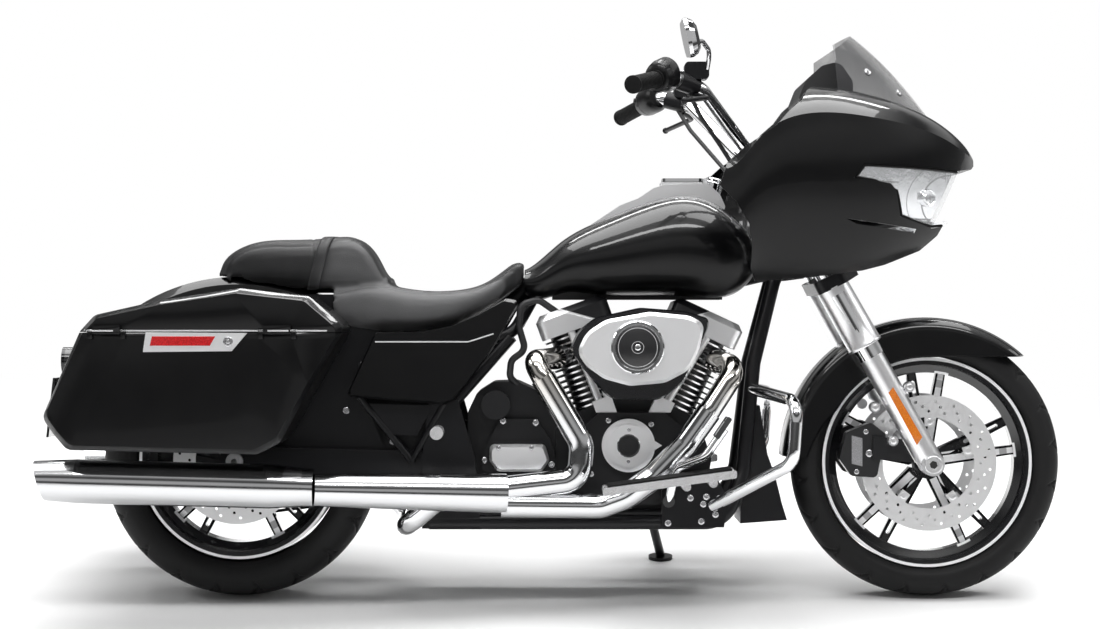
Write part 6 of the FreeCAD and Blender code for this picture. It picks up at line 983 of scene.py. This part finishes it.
# The fork sliders are bright alloy, and the bracket that ties caliper to slider is painted
# black. It lies behind the slider's own line, which leans back from the axle.
FORK_LINE = Vector((-0.4886, 0.0, 0.8725))
slider, shader, place_mm = finish("slider_finish", BRIGHT, (0.9, 0.03), (8.0, 0.1, 0.27),
                                  Metallic=1.0, Roughness=0.3)
ahead, _, up = axes(place_mm)
off_line = (ahead - FRONT_AXLE[0]) * FORK_LINE.z - (up - FRONT_AXLE[1]) * FORK_LINE.x
bracket = (1 - off_line.above(-31.0, 0.5)) * (1 - up.above(470.0, 1.0))
bracket.tone(BRIGHT, TOP_BLACK).to(shader, "Base Color")
(1 - bracket).to(shader, "Metallic")
wear(slider, "fork_sliders")

# The front axle is held in a turned bright boss at each slider's foot. A dark hexagon
# socket in its end takes the key.
socket_dark = finish("socket_dark", (0.01, 0.01, 0.01), (1.0, 0.1), Roughness=0.6)[0]
AXLE_END = 152.0
for side, word in SIDES:
    spot, way = (FRONT_AXLE[0], side * AXLE_END, FRONT_AXLE[1]), (0, side, 0)
    cap = turned([(-2.0, 21.0), (1.4, 21.0), (2.4, 19.5), (2.4, 12.0), (0.8, 11.0), (0.8, 0.5)],
                 spot, way, 40)
    part_of("axle_cap_" + word, cap, satin, "front_end", 30)
    socket = turned([(0.8, 9.5), (1.5, 9.5), (1.5, 0.5)], spot, way, 6)
    part_of("axle_socket_" + word, socket, socket_dark, "front_end", 20)


# A thin bright strip runs along each lid's lower edge and each side cover's crease. It is a painted
# highlight where light catches those edges, and it follows the moulding under it.
def bead(name, path, width, body):
    path = [spot for spot in path if spot is not None]
    rows = []
    for i, spot in enumerate(path):
        out_way = Vector((0, math.copysign(1, spot.y), 0))
        side_way = along_path(path, i).cross(out_way).normalized() * width
        rows.append([spot + side_way * share + out_way * lift
                     for share, lift in ((-1.0, -0.6), (-0.6, 0.8), (0.6, 0.8), (1.0, -0.6))])
    part_of(name, lofted(rows), brushed, body, 25)


# Painted highlights along the lids' lower edges and the side covers' creases.
for side, word in SIDES:
    lid = "lid_" + word
    path = [land_beside(lid, side, -362.0 + i * 21.5, 633.0)[0] for i in range(29)]
    bead("lid_bead_" + word, path, 2.2, lid)
    path = []
    for i in range(15):
        x = 330.0 + i * 19.5
        path.append(land_beside("side_covers", side, x, 606.0 + max(0.0, x - 545.0) * 0.32)[0])
    bead("cover_bead_" + word, path, 2.0, "chassis")

# The oil cooler has a stack of thin aluminium fins across its core. They are brazed in and
# painted black like the cooler's tank ends.
FIN_HALF = 66
fins = []
for i in range(26):
    z = 236.0 + i * 8.0
    spot, _ = land("oil_cooler", (1600.0, 0, z), (1000.0, 0, z))
    if spot is not None:
        back, front = spot.x - 5.0, spot.x + 3.0
        fins.append(lofted([[(back, -FIN_HALF, level), (front, -FIN_HALF, level),
                             (front, FIN_HALF, level), (back, FIN_HALF, level)]
                            for level in (z, z + 1.2)]))
part_of("cooler_fins", gathered(fins), powder, "chassis", 20)

# Each tail lamp has a domed red lens with fine moulded cells in a chromed ring. Black
# brackets hold the lamps to the rear fender.
BRACKET_BLACK = (0.008, 0.008, 0.009)
tail_black, shader, place_mm = finish("tail_lamp_finish", BRACKET_BLACK, Roughness=0.25,
                                      Coat_Weight=1.0)
ahead, out, up = axes(place_mm)
radius = span(abs(out) - 78.0, up - 560.0)
red_lens = (1 - radius.above(28.0, 0.6)) * (1 - ahead.above(-420.0, 1.0))
bright_ring = radius.within(28.0, 34.0, 0.6) * (1 - ahead.above(-405.0, 1.0))
red_lens.tone(BRACKET_BLACK, (0.55, 0.008, 0.01)).to(shader, "Base Color")
(red_lens * place_mm.pebble(3.0) * 0.4 + place_mm.grain(1.4) * 0.02).raise_up(shader)
bright_ring.to(shader, "Metallic")
wear(tail_black, "tail_lamps")

# Front fender: one deep steel pressing, crowned across and rolled round the tyre, with its
# side skirts trimmed level ahead of the fork and the leading edge drawn to a point.
CROWN_FOOT, CROWN_TALL, FENDER_HALF = 319.0, 24.0, 82.0
SKIRT_LOW, SKIRT_RISE = 253.0, 37.0
FENDER_THICK = 4.0


def fender_section(angle):
    level = SKIRT_LOW / max(math.sin(angle), 0.2)
    back = max(0.0, (math.degrees(angle) - 150.0) / 28.0)
    ahead_of_fork = angle < math.pi / 2
    low = min(342.0, level) if ahead_of_fork else SKIRT_LOW + SKIRT_RISE * min(1.0, back)
    skirted = low < CROWN_FOOT
    if skirted:
        wide = FENDER_HALF
        side = [(low + (CROWN_FOOT - low) * share, wide) for share in (0.0, 0.5, 0.9)]
    else:
        wide = FENDER_HALF * (1 - ((low - CROWN_FOOT) / CROWN_TALL) ** 2) ** 0.25
        side = [(low, wide)] * 3
    crown = []
    for i in range(25):
        y = wide * (1 - i / 12.0)
        arch = (1 - min(1.0, abs(y / FENDER_HALF)) ** 4) ** 0.5
        crown.append((CROWN_FOOT + CROWN_TALL * arch, y))
    row = side + crown + [(r, -y) for r, y in reversed(side)]
    inner = [(r - FENDER_THICK, y * (1 - FENDER_THICK / FENDER_HALF)) for r, y in row]
    return [(FRONT_AXLE[0] + r * math.cos(angle), y, FRONT_AXLE[1] + r * math.sin(angle))
            for r, y in inner + row[::-1]]


rows = [fender_section(math.radians(47.6 + 129.9 * i / 72.0)) for i in range(73)]
made = part_of("front_fender_pressed", lofted(rows), body_black, "front_end", 38)
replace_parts(made, "front_fender")


# Moulded and pressed skins have rolled edges. These copies of the plain skins take a small
# radius on every hard edge, so the light runs round them and doesn't break.
def softened(node, skin, body, radius, sharp):
    made = placed(node + "_soft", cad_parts[node].data.copy())
    weld = made.modifiers.new("weld", "WELD")
    weld.merge_threshold = 0.00002
    roll = made.modifiers.new("roll", "BEVEL")
    roll.width = radius
    roll.segments = 3
    roll.limit_method = "ANGLE"
    roll.angle_limit = math.radians(sharp)
    roll.use_clamp_overlap = True
    roll.harden_normals = True
    dressed(settled(made), skin, 44)
    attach(made, body)
    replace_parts(made, node)


for word in ("left", "right"):
    softened("lid_" + word, bag_black, "lid_" + word, 0.004, 18)
    softened("saddlebag_" + word, bag_black, "chassis", 0.004, 18)
softened("rear_fender", body_black, "chassis", 0.002, 26)

# A moulded splash panel hangs inside each bag, between the rear fender and the swingarm. It
# is a flat sheet with its edges folded in.
PANEL_OUTER, PANEL_INNER = 130.0, 127.0
SPLASH = [(60, 640), (150, 716), (300, 716), (336, 640), (350, 500), (352, 440), (352, 350),
          (120, 350), (84, 470)]
part_of("splash_panels", pressed(SPLASH, PANEL_OUTER, PANEL_INNER), powder, "chassis",
        25)

# Switch housings: gloss black clamshells round the bar inboard of each grip, with a joint
# and round push buttons on the rider's side.
switch_black = finish("switch_black", (0.002, 0.002, 0.0023), (2.0, 0.03), (14.0, 0.1, 0.28),
                      Roughness=0.3, Coat_Weight=0.2, IOR=1.35)[0]
CLAMSHELL = [(136, 17), (137, 26), (141, 30), (160, 33), (161, 32), (162, 33), (196, 34),
             (208, 31), (216, 26), (217, 14)]
CLAMSHELL_MIDDLE = 168.0
BUTTON = [(-6, 5.4), (3.4, 5.4), (4.4, 4.4), (4.4, 0.5)]
to_rider = Vector((-1, 0, 0.15)).normalized()
for side, word in SIDES:
    outer = on_side(GRIP_OUTER, side)
    run = (on_side(GRIP_INNER, side) - outer).normalized()
    middle = outer + run * CLAMSHELL_MIDDLE
    points, faces = turned(CLAMSHELL, outer, run, 36)
    points = [p + Vector((0, 0, 0.32 * max(0.0, p.z - middle.z))) for p in points]
    part_of("switch_shell_" + word, (points, faces), switch_black, "front_end", 35)
    buttons = []
    for along, rise in ((148.0, 8.0), (166.0, 10.0), (166.0, -9.0), (184.0, 6.0)):
        spot = outer + run * along + Vector((-29.0, 0, rise))
        buttons.append(turned(BUTTON, spot, to_rider, 20))
    part_of("switch_knobs_" + word, gathered(buttons), grained, "front_end", 35)

# Pressed steel panels close the frame triangle behind the side covers, and two screws a side
# hold them to the frame.
MIDDLE = [(296, 476), (484, 476), (484, 352), (350, 352)]
part_of("middle_panels", pressed(MIDDLE, PANEL_OUTER, PANEL_INNER), powder, "chassis",
        25)
heads = [bolt((x, side * PANEL_OUTER, z), (0, side, 0), 8.0, 6.0) for side, _ in SIDES
         for x, z in ((258.0, 445.0), (366.0, 372.0))]
part_of("middle_panel_screws", gathered(heads), zinc, "chassis")

# Bright oval shrouds cover the fork above the sliders. Each is pressed from sheet, ends in
# a rolled lip, and reaches up to the lower clamp.
SHROUD = [(0, 37.0), (0, 41.5), (2, 42.5), (6, 42.5), (8, 41.0), (70, 40.0), (158, 39.0),
          (158, 36.5), (8, 37.5), (2, 37.0)]
FORK_OUT = 120.0
OVAL = 0.84
for side, word in SIDES:
    foot = Vector((FRONT_AXLE[0], side * FORK_OUT, FRONT_AXLE[1])) + FORK_LINE * 316.0
    points, faces = open_ended(turned(SHROUD, foot, FORK_LINE, 48))
    points = [(p.x, foot.y + (p.y - foot.y) * OVAL, p.z) for p in points]
    part_of("fork_shroud_" + word, (points, faces), slider, "front_end", 40)

# Behind each clear lens sits a small round projector. It is a chromed cup in a stepped
# ring, fixed in the bowl.
LAMP_RADIUS = 21.0
PROJECTOR = [(-15, LAMP_RADIUS), (-7, LAMP_RADIUS), (-5, LAMP_RADIUS - 2), (-7, LAMP_RADIUS - 4),
             (-11, LAMP_RADIUS - 5), (-12, LAMP_RADIUS - 9), (-9, LAMP_RADIUS * 0.4), (-8, 0.5)]
for side, word in SIDES:
    spot, _ = land_beside("headlamps", side, 1598.0, 934.0)
    ring = turned(PROJECTOR, spot, (0.55, side * 0.83, 0.0), 36)
    part_of("lamp_projectors_" + word, ring, chrome, "chassis", 30)

# The last line takes the outer sizes of everything rendered, leaving out the floor.
low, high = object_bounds()
